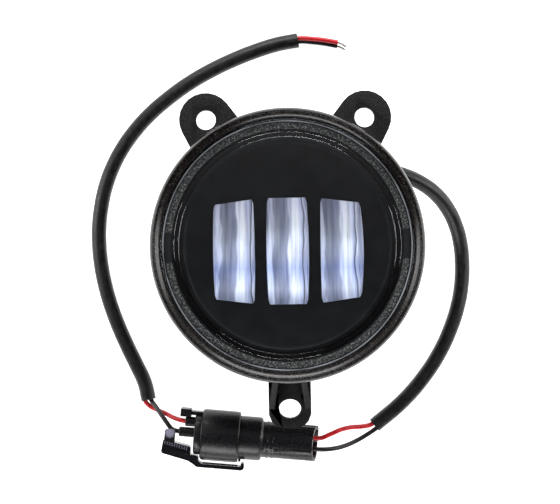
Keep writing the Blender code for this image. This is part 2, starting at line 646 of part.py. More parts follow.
def window_outline(index, steps=5):
    """One window. Its top and bottom follow shallow arcs and its sides bulge."""
    half, tall = WINDOW_WIDTH / 2, WINDOW_HEIGHT / 2
    centre = index * WINDOW_PITCH

    def end_y(x):
        return tall - x ** 2 / (2 * WINDOW_TOP_RADIUS)

    def side_x(side, share):
        strength = WINDOW_BOWS[index + 1][side > 0]
        bulge = strength * WINDOW_BULGE * (1 - share ** 2)
        return centre + side * (half - WINDOW_BULGE / 3 + bulge)

    shares = [1 - 2 * step / (steps - 1) for step in range(steps)]
    outline = []
    for side, order in ((1, shares), (-1, shares[::-1])):
        for share in order:
            x = side_x(side, share)
            outline.append((x, WINDOW_CENTRE_Y + share * end_y(x)))
    return outline


def reflector_mask():
    """Black dished moulding in front of the reflector, with three windows."""
    rim, flange = MASK_RADIUS + 1.8 * MM, RIM_INNER - SLACK
    low = LEDGE_Z + GAP
    dish = [share * MASK_RADIUS for share in (0, 0.4, 0.75, 1)]
    front = [(radius, mask_height(radius)) for radius in dish]
    back = [(radius, height - MASK_THICKNESS) for radius, height in front[-2::-1]]
    edge = mask_height(MASK_RADIUS)
    profile = [
        *front, (MASK_RADIUS + 0.6 * MM, edge + 0.3 * MM), (rim, edge),
        (rim + 0.2 * MM, low + MASK_THICKNESS), (flange, low + MASK_THICKNESS), (flange, low),
        (MASK_RADIUS, low), *back,
    ]
    mask = part("reflector_mask", turned(profile, 40, closed=False), MASK_PLASTIC)
    for index in (-1, 0, 1):
        where = Matrix.Translation((0, 0, MASK_CENTRE_Z))
        cut(mask, extruded(window_outline(index), 4 * MASK_DISH), where)


def trough_z(y):
    """Height of the parabola that throws the LEDs' light forward."""
    return TROUGH_BOTTOM_Z + (y - TROUGH_FOCUS_Y) ** 2 / (4 * TROUGH_FOCAL)


def reflector():
    """Metallised moulding: one parabolic sheet divided by ribs into three troughs."""
    top_y, low_y = TROUGH_FOCUS_Y, TROUGH_LOW_Y
    steps = 12
    ys = [top_y + (low_y - top_y) * step / steps for step in range(steps + 1)]
    half = 1.5 * WINDOW_PITCH - OVERLAP
    sheet = [(y, trough_z(y)) for y in ys] + [(y, trough_z(y) - TROUGH_WALL) for y in reversed(ys)]
    upright = Matrix.Rotation(pi / 2, 4, "Z") @ Matrix.Rotation(pi / 2, 4, "X")
    body = part("reflector", extruded(sheet, 2 * half), CHROME, upright)
    rib_top = MASK_CENTRE_Z - MASK_THICKNESS - GAP
    inside = [TROUGH_RIB_Y] + [y for y in ys if y < TROUGH_RIB_Y and trough_z(y) < rib_top - MM]
    rib = [(TROUGH_RIB_Y, rib_top)] + [(y, trough_z(y) - OVERLAP) for y in inside] + [(inside[-1], rib_top)]
    for x in (-half + TROUGH_WALL / 2, -WINDOW_PITCH / 2, WINDOW_PITCH / 2, half - TROUGH_WALL / 2):
        join(body, extruded(rib, TROUGH_WALL), Matrix.Translation((x, 0, 0)) @ upright)


def led_board():
    """Thermal pad, board and three LEDs stacked under the shelf, screwed up into it."""
    low, high = LED_BOARD_LOW_Z, LED_BOARD_TOP_Z
    pad_y = SHELF_FACE_Y - GAP
    pad_mesh = box((-SHELF_HALF, pad_y - THERMAL_PAD, low), (SHELF_HALF, pad_y, high))
    pad = part("thermal_pad", pad_mesh, PAD_GREY)
    board_y = pad_y - THERMAL_PAD - GAP
    face_y = board_y - LED_BOARD_THICKNESS
    corners = (-LED_BOARD_HALF, face_y, low), (LED_BOARD_HALF, board_y, high)
    board = part("led_board", box(*corners), BOARD_WHITE)
    screw = pan_screw(BOARD_SCREW_RADIUS, SHELF_FACE_Y - face_y + BOARD_SCREW_REACH - MM)
    for side, name in ((-1, "left"), (1, "right")):
        spot = Matrix.Translation((side * WINDOW_PITCH / 2, face_y, led_centre_z()))
        hole = drum(BOARD_SCREW_RADIUS + GAP, -4 * MM, 4 * MM, 12)
        cut(pad, hole, spot @ ALONG_MINUS_Y)
        cut(board, hole.copy(), spot @ ALONG_MINUS_Y)
        under = Matrix.Translation((0, -GAP, 0)) @ spot @ ALONG_MINUS_Y
        part(f"led_board_screw_{name}", screw, STEEL, under)
    for index, name in ((-1, "left"), (0, "middle"), (1, "right")):
        x, base = index * WINDOW_PITCH, face_y - GAP
        half = LED_SIDE / 2
        base_low = (x - half, base - LED_HEIGHT / 2, led_centre_z() - half)
        led = part(f"led_{name}", box(base_low, (x + half, base, led_centre_z() + half)), LED_YELLOW)
        dome = drum(0.45 * LED_SIDE, 0, LED_HEIGHT, 16, top_radius=0.3 * LED_SIDE)
        join(led, dome, Matrix.Translation((x, base - OVERLAP / 4, led_centre_z())) @ ALONG_MINUS_Y)


def driver_board():
    """Driver board on its two posts, with its choke, capacitor and chip."""
    top = DRIVER_Z + DRIVER_THICKNESS
    board_mesh = box((-DRIVER_HALF, DRIVER_LOW_Y, DRIVER_Z), (DRIVER_HALF, DRIVER_TOP_Y, top))
    board = part("driver_board", board_mesh, BOARD_GREEN)
    screw = pan_screw(BOARD_SCREW_RADIUS, BOARD_SCREW_REACH)
    for side, name in ((-1, "left"), (1, "right")):
        centre = (side * BOARD_POST_X, BOARD_POST_Y)
        cut(board, drum(BOARD_SCREW_RADIUS + GAP, DRIVER_Z - MM, top + MM, 12, centre))
        part(f"driver_board_screw_{name}", screw, STEEL, Matrix.Translation((*centre, top + GAP)))
    seat = top + GAP
    middle_y = (DRIVER_LOW_Y + DRIVER_TOP_Y) / 2
    choke = [
        (5.5 * MM, 7.5 * MM), (5.5 * MM, 6 * MM), (4.4 * MM, 5.6 * MM), (4.4 * MM, 1.9 * MM),
        (5.5 * MM, 1.5 * MM), (5.5 * MM, 0), (1.8 * MM, 0), (1.8 * MM, 7.5 * MM),
    ]
    part("driver_choke", turned(choke, 14), FERRITE, Matrix.Translation((-7 * MM, middle_y - MM, seat)))
    capacitor = [(0, 9 * MM), (3.6 * MM, 9 * MM), (4 * MM, 8.6 * MM), (4 * MM, 0), (0, 0)]
    where = Matrix.Translation((8 * MM, middle_y - 1.5 * MM, seat))
    part("driver_capacitor", turned(capacitor, 14, closed=False), SLEEVE_BLACK, where)
    chip_low = (-1.2 * MM, DRIVER_TOP_Y - 5.5 * MM, seat)
    part("driver_chip", box(chip_low, (3 * MM, DRIVER_TOP_Y - 1.3 * MM, seat + 1.4 * MM)), CHIP_BLACK)


def inner_leads():
    """Leads from the driver to the LED board, and the cable's cores to the driver."""
    routes = {
        "led_lead_red": [
            (-30.2, 18.6, 41), (-31.3, 13.8, 39), (-32.4, 6, 35.4), (-32.3, -3, 32.6),
            (-29.8, -12, 31.3), (-24, -18.6, 30), (-18.4, -20.4, 28.2)],
        "led_lead_black": [
            (-30.2, 18.6, 37.4), (-31.3, 13.8, 35.4), (-32.2, 6, 32.2), (-32.2, -3, 29.6),
            (-30.2, -13.2, 28.7), (-24.8, -21, 28.6), (-18.8, -23.4, 28.2)],
        "feed_wire_red": [
            (19.8, 29.2, 24.6), (18.7, 28.5, 23.9), (18.6, 26.4, 22.2), (18.6, 24, 20.1),
            (18.8, 20.6, 17.8), (18.9, 13, 17.5), (19, 2, 17.5), (20, -9, 18), (22.4, -17.4, 20.6),
            (23, -22.4, 25.2), (18.8, -23.4, 28.5)],
        "feed_wire_black": [
            (19.8, 26.5, 24.6), (19.8, 24.8, 24), (20.6, 23.2, 21.8), (20.8, 21.2, 19.2),
            (21.6, 17.2, 17.7), (22, 2, 17.6), (22.6, -8, 18.4), (23.4, -14, 22.4),
            (22.9, -18.2, 27.2), (18.8, -19.2, 28.5)],
    }
    for name, route in routes.items():
        tone = RED_PVC if name.endswith("red") else BLACK_PVC
        cord(name, millimetres(route), WIRE_RADIUS, tone, step=4.95 * MM)


def cable_gland():
    """Gland body in the housing's boss, rubber seal and dome nut, all along +X."""
    where = Matrix.Translation((0, GLAND_Y, GLAND_Z)) @ ALONG_X
    bore = CABLE_RADIUS + SLACK
    hex_low = GLAND_FACE_X + GAP
    hex_high = hex_low + GLAND_HEX_LENGTH
    thread = GLAND_BORE - GAP
    thread_end = hex_high + GLAND_THREAD_LENGTH
    body = part("cable_gland", drum(thread, GLAND_STUB_X, thread_end, 24), NYLON, where)
    join(body, drum(GLAND_HEX, hex_low, hex_high, 6), where)
    cut(body, drum(bore, GLAND_STUB_X - MM, thread_end + MM, 24), where)
    nut_low = hex_high + GAP
    nut_high = nut_low + NUT_LENGTH
    dome = drum(GLAND_HEX, nut_low, nut_high, 6, top_radius=GLAND_HEX - SLACK)
    nut = part("gland_nut", dome, NYLON, where)
    roof = nut_high - NUT_WALL
    hollow = [
        (0, nut_high + MM), (bore, nut_high + MM), (bore, roof), (thread + GAP, roof),
        (thread + GAP, nut_low - MM), (0, nut_low - MM),
    ]
    cut(nut, turned(hollow, 24, closed=False), where)
    low, high = thread_end + GAP, roof - GAP
    seal = [(thread, high), (thread, low), (bore, low), (bore, high)]
    part("gland_seal", turned(seal, 24), BLACK_RUBBER, where)


def breather_vent():
    """Mushroom-shaped membrane vent pushed into the housing's side."""
    face = VENT_X + GAP
    cap, stem, root = VENT_CAP_RADIUS, VENT_STEM_RADIUS, BODY_INNER + OVERLAP
    profile = [
        (0, face + 2.2 * MM), (cap - 0.8 * MM, face + 2.2 * MM), (cap, face + 1.4 * MM), (cap, face),
        (stem, face), (stem, root), (0, root),
    ]
    where = Matrix.Translation((0, 0, VENT_Z)) @ ALONG_X.inverted()
    part("breather_vent", turned(profile, 20, closed=False), NYLON, where)


def oval(mesh):
    """Lay a turned mesh along the connector's +X and flatten it to an oval."""
    mesh.transform(Matrix.Diagonal((1, 1, OVAL, 1)) @ ALONG_X)
    return mesh


def in_connector(x, y, z=0.0):
    return CONNECTOR @ Vector((x, y, z))


def plug_half():
    """Lamp side of the connector: shell, wire seal and two blade pins."""
    cavity = BARREL_RADIUS - BARREL_WALL
    nose_cavity = NOSE_RADIUS - BARREL_WALL
    eased = COLLAR_RADIUS - 0.5 * MM
    profile = [
        (0, WEB_END), (nose_cavity, WEB_END), (nose_cavity, NOSE_END), (NOSE_RADIUS, NOSE_END),
        (NOSE_RADIUS, COLLAR_END), (eased, COLLAR_END), (COLLAR_RADIUS, COLLAR_END - 0.5 * MM),
        (COLLAR_RADIUS, BARREL_LENGTH + 0.6 * MM), (eased, BARREL_LENGTH),
        (BARREL_RADIUS, BARREL_LENGTH), (BARREL_RADIUS, 0), (cavity, 0), (cavity, WEB_START),
        (0, WEB_START),
    ]
    shell = part("plug_shell", oval(turned(profile, 28, closed=False)), CONNECTOR_PLASTIC, CONNECTOR)
    lug_low = (HOOD_START - 1.2 * MM, COLLAR_RADIUS - MM, -LUG_HALF)
    join(shell, box(lug_low, (HOOD_START - GAP, COLLAR_RADIUS + LUG_HEIGHT, LUG_HALF)), CONNECTOR)
    slant = Matrix.Translation((0, 0, BARREL_RADIUS)) @ Matrix.Rotation(MOUTH_SLANT, 4, "Y")
    chop = box((-20 * MM, -10 * MM, -30 * MM), (2.6 * MM, 10 * MM, 10 * MM))
    cut(shell, chop, CONNECTOR @ slant)
    seal_radius = cavity - GAP
    seal_low, seal_high = WEB_START - WIRE_SEAL_LENGTH, WEB_START - GAP
    disc = [(0, seal_high), (seal_radius, seal_high), (seal_radius, seal_low), (0, seal_low)]
    seal = part("plug_wire_seal", oval(turned(disc, 20, closed=False)), SEAL_RUBBER, CONNECTOR)
    wide, thick = PIN_WIDTH / 2, PIN_THICKNESS / 2
    for number, y in enumerate(WIRE_Y.values(), 1):
        slot_low = (WEB_START - MM, y - wide - GAP, -thick - GAP)
        cut(shell, box(slot_low, (WEB_END + MM, y + wide + GAP, thick + GAP)), CONNECTOR)
        tunnel = drum(WIRE_RADIUS + SLACK, seal_low - MM, seal_high + MM, 14)
        cut(seal, tunnel, CONNECTOR @ Matrix.Translation((0, y, 0)) @ ALONG_X)
        pin = box((WEB_START - MM, y - wide, -thick), (PIN_END, y + wide, thick))
        part(f"plug_pin_{number}", pin, BRASS_TIN, CONNECTOR)


def socket_half(rig):
    """Adapter side: hooded shell with wire towers, face seal and two terminals."""
    hood_cavity = COLLAR_RADIUS + SLACK
    core = NOSE_RADIUS - BARREL_WALL - 2 * GAP
    profile = [
        (0, RING_END), (RING_RADIUS - 0.6 * MM, RING_END), (RING_RADIUS, RING_END - 0.6 * MM),
        (RING_RADIUS, HOOD_END), (HOOD_RADIUS - 0.8 * MM, HOOD_END), (HOOD_RADIUS, HOOD_END - 1.2 * MM),
        (HOOD_RADIUS, HOOD_START), (hood_cavity, HOOD_START), (hood_cavity, HOOD_FLOOR),
        (core, HOOD_FLOOR), (core, CORE_START), (0, CORE_START),
    ]
    shell = part("socket_shell", oval(turned(profile, 28, closed=False)), CONNECTOR_PLASTIC, CONNECTOR)
    for tone, end in TOWER_ENDS.items():
        line = CONNECTOR @ Matrix.Translation((0, TOWER_Y[tone], 0)) @ ALONG_X
        join(shell, drum(TOWER_RADIUS, RING_END - OVERLAP, end, 18), line)
        cut(shell, drum(WIRE_RADIUS + SLACK, RING_END + OVERLAP, end + MM, 14), line)
    join_strap(shell)
    high = (HOOD_FLOOR + NOSE_END) / 2 - GAP
    low, outer, inner = high - 2 * MM, hood_cavity - GAP, NOSE_RADIUS + GAP
    seal = turned([(outer, high), (outer, low), (inner, low), (inner, high)], 24)
    pieces = [shell, part("socket_seal", oval(seal), SEAL_RUBBER, CONNECTOR)]
    inner_w, inner_t = PIN_WIDTH / 2 + GAP, PIN_THICKNESS / 2 + GAP
    outer_w, outer_t = inner_w + TERMINAL_WALL, inner_t + TERMINAL_WALL
    nest_w, nest_t = outer_w + GAP, outer_t + GAP
    start, end = CORE_START + OVERLAP, HOOD_END
    for number, y in enumerate(WIRE_Y.values(), 1):
        sleeve = box((start, y - outer_w, -outer_t), (end, y + outer_w, outer_t))
        terminal = part(f"socket_terminal_{number}", sleeve, BRASS_TIN, CONNECTOR)
        bore = box((start - MM, y - inner_w, -inner_t), (end - 2 * MM, y + inner_w, inner_t))
        cut(terminal, bore, CONNECTOR)
        cut(shell, box((CORE_START - MM, y - nest_w, -nest_t), (end + GAP, y + nest_w, nest_t)), CONNECTOR)
        pieces.append(terminal)
    for piece in pieces:
        ride(piece, rig)


def join_strap(shell):
    """The arm and its raised end that reach back from the ring, on the side away from the latch."""
    y = -RING_RADIUS - 0.9 * MM
    join(shell, box((HOOD_END - MM, y, -2.6 * MM), (51 * MM, y + 1.4 * MM, 2.6 * MM)), CONNECTOR)
    end_low = (50.4 * MM, y - 0.8 * MM, -3.2 * MM)
    join(shell, box(end_low, (54.6 * MM, y + 2.2 * MM, 3.2 * MM)), CONNECTOR)


def ride(piece, rig):
    """Parent a piece to a joint's empty, and keep its place."""
    piece.parent = rig
    piece.matrix_parent_inverse = rig.matrix_world.inverted()


def release_latch(rig):
    """Bail over the hood that hooks the plug's lug, and the ribbed pad that frees it."""
    half, rail = LATCH_HALF, 1.3 * MM
    inner, outer = HOOD_RADIUS / MM + 1.2, HOOD_RADIUS / MM + 2.6
    profile = [
        (28.2, 9.8), (29.5, 9.8), (29.5, inner), (45, inner), (46.3, 10.6), (46.3, 8.6), (49.6, 8.2),
        (49.8, 4.9), (60.6, 2.9), (61, 8.2), (50.6, 10.4), (49.4, 10.9), (47.6, outer - 0.6), (46.6, outer),
        (29.2, outer), (28.2, outer - 0.9),
    ]
    outline = [(x * MM - LATCH_PIVOT.x, y * MM - LATCH_PIVOT.y) for x, y in profile]
    where = CONNECTOR @ Matrix.Translation(LATCH_PIVOT)
    latch = part("release_latch", extruded(outline, 2 * half), CONNECTOR_PLASTIC, where)
    window = box(
        (30.8 * MM, (inner - 1) * MM, -half + rail), (44.6 * MM, (outer + 1) * MM, half - rail))
    cut(latch, window, CONNECTOR)
    ride(latch, rig)


def lead_cords(rig):
    """The lamp's own cable and wires, and the adapter's, all lying on z = 0."""
    lamp_route = millimetres([
        (21, 28, 24.4), (27, 28, 24.4), (33, 28, 24.4), (39.5, 27.7, 24.2), (46, 26, 22.9),
        (52.2, 23.2, 20.4), (57.9, 19.2, 16.9), (62.7, 13.8, 12.8), (66.3, 7.2, 8.9), (68.5, -0.4, 5.8),
        (69.3, -8.6, 3.9), (68.9, -16.9, 3), (67.3, -25.1, 3), (64.3, -33.9, 3), (60, -42.9, 3),
        (53.8, -52.3, 3), (45, -62.2, 3), (33.5, -71.7, 3)])
    cord("lamp_cable", lamp_route, CABLE_RADIUS, CABLE_PVC, sides=3, step=9.86 * MM)
    seal_end = WEB_START - 1.5 * MM
    red = millimetres([
        (32.5, -71.1, 3.6), (28.5, -71.9, 4.4), (24.2, -72.0, 5.6), (20.2, -72.7, 6.9), (15.6, -74.4, 8.2)])
    red += [in_connector(-0.6 * MM, WIRE_Y["red"]), in_connector(4 * MM, WIRE_Y["red"])]
    cord("lamp_wire_red", [*red, in_connector(seal_end, WIRE_Y["red"])], WIRE_RADIUS, RED_PVC)
    black = millimetres([
        (33.6, -73.4, 2.5), (30.2, -75.6, 2.2), (25.9, -77.8, 3.2), (20.6, -79.6, 5.4), (15.6, -80.2, 7.6)])
    black += [in_connector(-0.6 * MM, WIRE_Y["black"]), in_connector(4 * MM, WIRE_Y["black"])]
    cord("lamp_wire_black", [*black, in_connector(seal_end, WIRE_Y["black"])], WIRE_RADIUS, BLACK_PVC)
    for piece in adapter_cords():
        ride(piece, rig)


def adapter_cords():
    adapter_route = millimetres([
        (-55.9, -59.9, 3), (-57.4, -53, 3), (-60.5, -46, 3), (-64.3, -37.8, 3), (-67.6, -29.8, 3),
        (-70.3, -22, 3), (-72.3, -14.4, 3), (-73.7, -6.6, 3), (-74.4, 1.4, 3), (-74.3, 9.2, 3),
        (-73.3, 17, 3), (-71.6, 24.4, 3), (-68.9, 31.7, 3), (-65, 39.1, 3), (-59.9, 46.2, 3),
        (-53.5, 53.1, 3), (-46.1, 59.3, 3), (-38, 65, 3), (-29.3, 69.9, 3), (-20.2, 74.1, 3),
        (-10.9, 77.6, 3), (-2.4, 80.1, 3), (5.8, 81.5, 3)])
    made = [cord("adapter_cable", adapter_route, CABLE_RADIUS, CABLE_PVC, sides=3, step=11.6 * MM)]
    wires = {
        "red": [
            (-57.1, -60.7, 2.9), (-55.5, -62.5, 2.6), (-52.6, -64, 3.4), (-49, -65.4, 5.2),
            (-45.6, -66.9, 7.4)],
        "black": [
            (-54.8, -60.1, 3.4), (-53.2, -62.2, 5), (-50.8, -65.4, 6.9), (-48.4, -68.7, 8.2),
            (-46.4, -71.1, 8.7)],
    }
    materials = {"red": RED_PVC, "black": BLACK_PVC}
    for tone, route in wires.items():
        end, y = TOWER_ENDS[tone], TOWER_Y[tone]
        inside = [in_connector(x, y) for x in (end, end - 1.4 * MM, RING_END + 1.4 * MM)]
        made.append(cord(f"adapter_wire_{tone}", millimetres(route) + inside, WIRE_RADIUS, materials[tone]))
    tails = {
        "red": [(6.4, 82.2, 3.9), (11.6, 82.0, 3.0), (16.6, 81.4, 3.0), (21.6, 80.4, 2.9)],
        "black": [(6.4, 81.1, 2.1), (11.6, 80.9, 1.1), (16.6, 80.2, 1.1), (21.4, 79.2, 1.1)],
    }
    strands = {
        "red": [(21.9, 80.3, 2.9), (23.4, 79.7, 2.3), (24.9, 78.8, 1.4)],
        "black": [(21.7, 79.1, 1.1), (23.2, 78.5, 0.9), (24.4, 77.6, 0.7)],
    }
    for tone in tails:
        made.append(cord(f"tail_wire_{tone}", millimetres(tails[tone]), WIRE_RADIUS, materials[tone]))
        bare = millimetres(strands[tone])
        made.append(cord(f"tail_strands_{tone}", bare, STRANDS_RADIUS, TINNED, step=2.25 * MM))
    return made


def joint_empty(name, where, parent=None):
    """An empty on a joint's axis, which carries the pieces that move with it."""
    rig = bpy.data.objects.new(name, None)
    PARTS.objects.link(rig)
    rig.matrix_world = where
    if parent:
        ride(rig, parent)
    bpy.context.view_layer.update()
    return rig


heatsink()
heatsink_gasket()
heatsink_screws()
housing()
bezel_ring()
bezel_screws()
lens()
lens_bead()
reflector_mask()
reflector()
led_board()
driver_board()
inner_leads()
cable_gland()
breather_vent()
plug_half()
pull = joint_empty("adapter_pull", CONNECTOR)
latch = joint_empty("latch_press", CONNECTOR @ Matrix.Translation(LATCH_PIVOT), pull)
socket_half(pull)
release_latch(latch)
lead_cords(pull)
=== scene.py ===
from math import cos, pi, radians, sin

import bmesh
import bpy
from mathutils import Matrix, Vector


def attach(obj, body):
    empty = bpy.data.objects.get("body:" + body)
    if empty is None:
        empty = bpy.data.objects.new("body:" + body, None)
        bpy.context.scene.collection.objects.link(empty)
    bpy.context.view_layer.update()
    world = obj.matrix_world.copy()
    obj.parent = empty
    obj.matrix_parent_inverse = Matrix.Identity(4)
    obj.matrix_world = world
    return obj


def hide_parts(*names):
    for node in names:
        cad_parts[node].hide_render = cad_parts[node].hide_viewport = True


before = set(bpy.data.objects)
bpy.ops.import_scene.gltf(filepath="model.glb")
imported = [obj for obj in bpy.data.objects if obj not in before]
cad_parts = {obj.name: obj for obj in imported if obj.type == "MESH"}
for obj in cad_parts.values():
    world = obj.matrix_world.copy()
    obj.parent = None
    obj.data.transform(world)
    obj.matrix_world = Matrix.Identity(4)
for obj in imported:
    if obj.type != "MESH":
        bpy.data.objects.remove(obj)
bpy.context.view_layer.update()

MM = 0.001

# --- Stage -------------------------------------------------------------------------------
# The lamp lies on its cooling fins on a white table, seen straight down its optical axis.
# Large soft boxes stand beyond its four sides, the upper one strongest, and overhead is darker.
scene = bpy.context.scene
scene.view_settings.view_transform = "Standard"

CAMERA_PLACE, CAMERA_TURN, LENS_LENGTH, SENSOR = (-2.77 * MM, -2.33 * MM, 620 * MM), radians(-1), 100, 36
AIM = (0, 0, 30 * MM)
camera = bpy.data.objects.new("camera", bpy.data.cameras.new("camera"))
camera.location = CAMERA_PLACE
camera.rotation_euler = (0, 0, CAMERA_TURN)
camera.data.lens = LENS_LENGTH
camera.data.sensor_width = SENSOR
scene.collection.objects.link(camera)
scene.camera = camera


def linear(code):
    """A hex sRGB colour as linear RGBA."""
    channels = [int(code[start:start + 2], 16) / 255 for start in (0, 2, 4)]
    return (*[((c + 0.055) / 1.055) ** 2.4 if c > 0.04 else c / 12.92 for c in channels], 1)


def node(tree, kind, links=None, stops=None, **settings):
    """Add a node with its settings, its linked or plain inputs and, on a ramp, its colours."""
    made = tree.nodes.new(kind)
    for key, value in settings.items():
        setattr(made, key, value)
    for socket, value in (links or {}).items():
        if isinstance(value, bpy.types.Node):
            value = value.outputs[0]
        if isinstance(value, bpy.types.NodeSocket):
            tree.links.new(value, made.inputs[socket])
        else:
            made.inputs[socket].default_value = value
    for index, (position, code) in enumerate(stops or []):
        band = made.color_ramp.elements
        stop = band[index] if index < len(band) else band.new(position)
        stop.position, stop.color = position, linear(code)
    return made


def material_of(name):
    """A new material, its node tree and its Principled shader."""
    material = bpy.data.materials.new(name)
    material.use_nodes = True
    return material, material.node_tree, material.node_tree.nodes["Principled BSDF"]


# White laminate: bright enough under the boxes to read as plain paper
table_white, tree, shader = material_of("white_laminate")
shader.inputs["Roughness"].default_value = 0.9
shader.inputs["Emission Color"].default_value = linear("ffffff")
shader.inputs["Emission Strength"].default_value = 0.9
place = node(tree, "ShaderNodeTexCoord")
mottle = node(tree, "ShaderNodeTexNoise", {"Vector": place.outputs["Object"], "Scale": 40})
tone = node(tree, "ShaderNodeValToRGB", {"Fac": mottle}, [(0.3, "f4f4f4"), (0.7, "fbfbfb")])
tree.links.new(tone.outputs[0], shader.inputs["Base Color"])

TABLE_REACH, TABLE_TOP = 16, -0.1 * MM
table_mesh = bpy.data.meshes.new("table")
table_mesh.from_pydata(
    [(x * TABLE_REACH, y * TABLE_REACH, TABLE_TOP) for x, y in ((-1, -1), (1, -1), (1, 1), (-1, 1))],
    [], [(0, 1, 2, 3)])
table_mesh.materials.append(table_white)
table = bpy.data.objects.new("table", table_mesh)
scene.collection.objects.link(table)


def soft_box(name, place, size, power):
    """A rectangular area light that faces the lamp; its place and size are in metres."""
    light = bpy.data.lights.new(name, "AREA")
    light.shape = "RECTANGLE"
    light.size, light.size_y = size
    light.energy = power
    holder = bpy.data.objects.new(name, light)
    aim = Vector(AIM) - Vector(place)
    holder.location = place
    holder.rotation_euler = aim.to_track_quat("-Z", "Y").to_euler()
    scene.collection.objects.link(holder)
    return holder


soft_box("box_upper", (0.05, 0.62, 0.42), (0.7, 0.25), 4.2)
soft_box("box_left", (-0.62, 0.10, 0.34), (0.3, 0.5), 2.4)
soft_box("box_right", (0.62, 0.05, 0.34), (0.3, 0.5), 2.4)
soft_box("box_lower", (-0.1, -0.55, 0.30), (0.6, 0.2), 2.4)

world = bpy.data.worlds.new("studio")
world.use_nodes = True
scene.world = world
tree = world.node_tree
way = node(tree, "ShaderNodeTexCoord")
split = node(tree, "ShaderNodeSeparateXYZ", {"Vector": way.outputs["Generated"]})
upward = node(tree, "ShaderNodeMapRange", {"Value": split.outputs["Y"], "From Min": -1.0, "From Max": 1.0})
sky = node(tree, "ShaderNodeValToRGB", {"Fac": upward},
           [(0.1, "0e0e0f"), (0.46, "3c3c3e"), (0.57, "7a7a7c"), (0.9, "eeeef0")])
tree.links.new(sky.outputs[0], tree.nodes["Background"].inputs["Color"])
tree.nodes["Background"].inputs["Strength"].default_value = 0.6

# --- Connector: the plug half on the lamp's own cable --------------------------------------
# Moulded black PBT, glass filled: an oval barrel with a slanted mouth that the wires and
# their orange seal push into, and a collar that fills the socket's hood.
MOUTH = Vector((10.8, -77.9, 8.7)) * MM
CONNECTOR = Matrix.Translation(MOUTH) @ Matrix.Rotation(radians(174.3), 4, "Z")
OVAL = 0.86
ALONG_X = Matrix.Rotation(pi / 2, 4, "Y")


def link(mesh, name):
    """A new object in the scene that shows a mesh or a curve."""
    made = bpy.data.objects.new(name, mesh)
    scene.collection.objects.link(made)
    return made


def settle(made, material, slot, body, *replaced):
    """Give a finished piece its material, its body and the nodes it stands for; slot is not used."""
    made.data.materials.clear()
    made.data.materials.append(material)
    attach(made, body)
    if replaced:
        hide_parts(*replaced)
    return made


def shaded(mesh, angle=32):
    """The mesh, smooth but for edges sharper than an angle in degrees."""
    mesh.shade_smooth()
    mesh.set_sharp_from_angle(angle=radians(angle))
    return mesh


def lathe(profile, segments=128, closed=False):
    """A turned mesh about Z from (radius, z) points in millimetres; open ends lie on the axis."""
    shape = bmesh.new()
    rings = []
    for radius, z in profile:
        if radius < 1e-6:
            rings.append([shape.verts.new((0, 0, z * MM))] * segments)
            continue
        turns = [2 * pi * step / segments for step in range(segments)]
        rings.append([shape.verts.new((radius * MM * cos(t), radius * MM * sin(t), z * MM)) for t in turns])
    pairs = list(zip(rings, rings[1:])) + ([(rings[-1], rings[0])] if closed else [])
    for low, high in pairs:
        for step in range(segments):
            after = (step + 1) % segments
            corners = list(dict.fromkeys((low[step], low[after], high[after], high[step])))
            if len(corners) > 2:
                shape.faces.new(corners)
    bmesh.ops.recalc_face_normals(shape, faces=shape.faces)
    mesh = bpy.data.meshes.new("turned")
    shape.to_mesh(mesh)
    shape.free()
    return shaded(mesh)


def block(low, high):
    """A block between two corners in millimetres."""
    low, high = Vector(low) * MM, Vector(high) * MM
    shape = bmesh.new()
    size = Matrix.Diagonal((*(high - low), 1))
    bmesh.ops.create_cube(shape, size=1, matrix=Matrix.Translation((low + high) / 2) @ size)
    mesh = bpy.data.meshes.new("block")
    shape.to_mesh(mesh)
    shape.free()
    return mesh


def prism(outline, low, high):
    """A flat outline in millimetres in XY, raised from low to high."""
    shape = bmesh.new()
    face = shape.faces.new([shape.verts.new((x * MM, y * MM, low * MM)) for x, y in outline])
    raised = bmesh.ops.extrude_face_region(shape, geom=[face])["geom"]
    tops = [part for part in raised if isinstance(part, bmesh.types.BMVert)]
    bmesh.ops.translate(shape, verts=tops, vec=(0, 0, (high - low) * MM))
    bmesh.ops.recalc_face_normals(shape, faces=shape.faces)
    # The raised parts come in no fixed order, so they are sorted by place to build alike each time
    across = Vector((1, 0.0137, 0.000173))
    shape.verts.sort(key=lambda corner: corner.co.dot(across))
    shape.edges.sort(key=lambda edge: (edge.verts[0].co + edge.verts[1].co).dot(across))
    shape.faces.sort(key=lambda side: side.calc_center_median().dot(across))
    mesh = bpy.data.meshes.new("prism")
    shape.to_mesh(mesh)
    shape.free()
    return mesh


def turned_to(mesh, matrix):
    """The mesh, moved by a matrix."""
    mesh.transform(matrix)
    return mesh


def evaluated(made):
    """The mesh of an object with its modifiers done; the object itself is removed."""
    bpy.context.view_layer.update()
    graph = bpy.context.evaluated_depsgraph_get()
    mesh = bpy.data.meshes.new_from_object(made.evaluated_get(graph))
    bpy.data.objects.remove(made)
    return mesh


def built(name, mesh, steps=(), edge=0.0, angle=35):
    """A piece joined to or cut by other meshes, its edges then eased, as one plain mesh."""
    made = link(mesh, name)
    tools = []
    for operation, tool_mesh in steps:
        tool = link(tool_mesh, "tool")
        tools.append(tool)
        change = made.modifiers.new("change", "BOOLEAN")
        change.operation, change.object, change.solver = operation, tool, "EXACT"
    if edge:
        ease = made.modifiers.new("edge", "BEVEL")
        ease.width, ease.segments, ease.limit_method = edge * MM, 2, "ANGLE"
        ease.angle_limit = radians(angle)
        ease.use_clamp_overlap = True
    mesh = evaluated(made)
    for tool in tools:
        bpy.data.objects.remove(tool)
    return link(shaded(mesh), name)


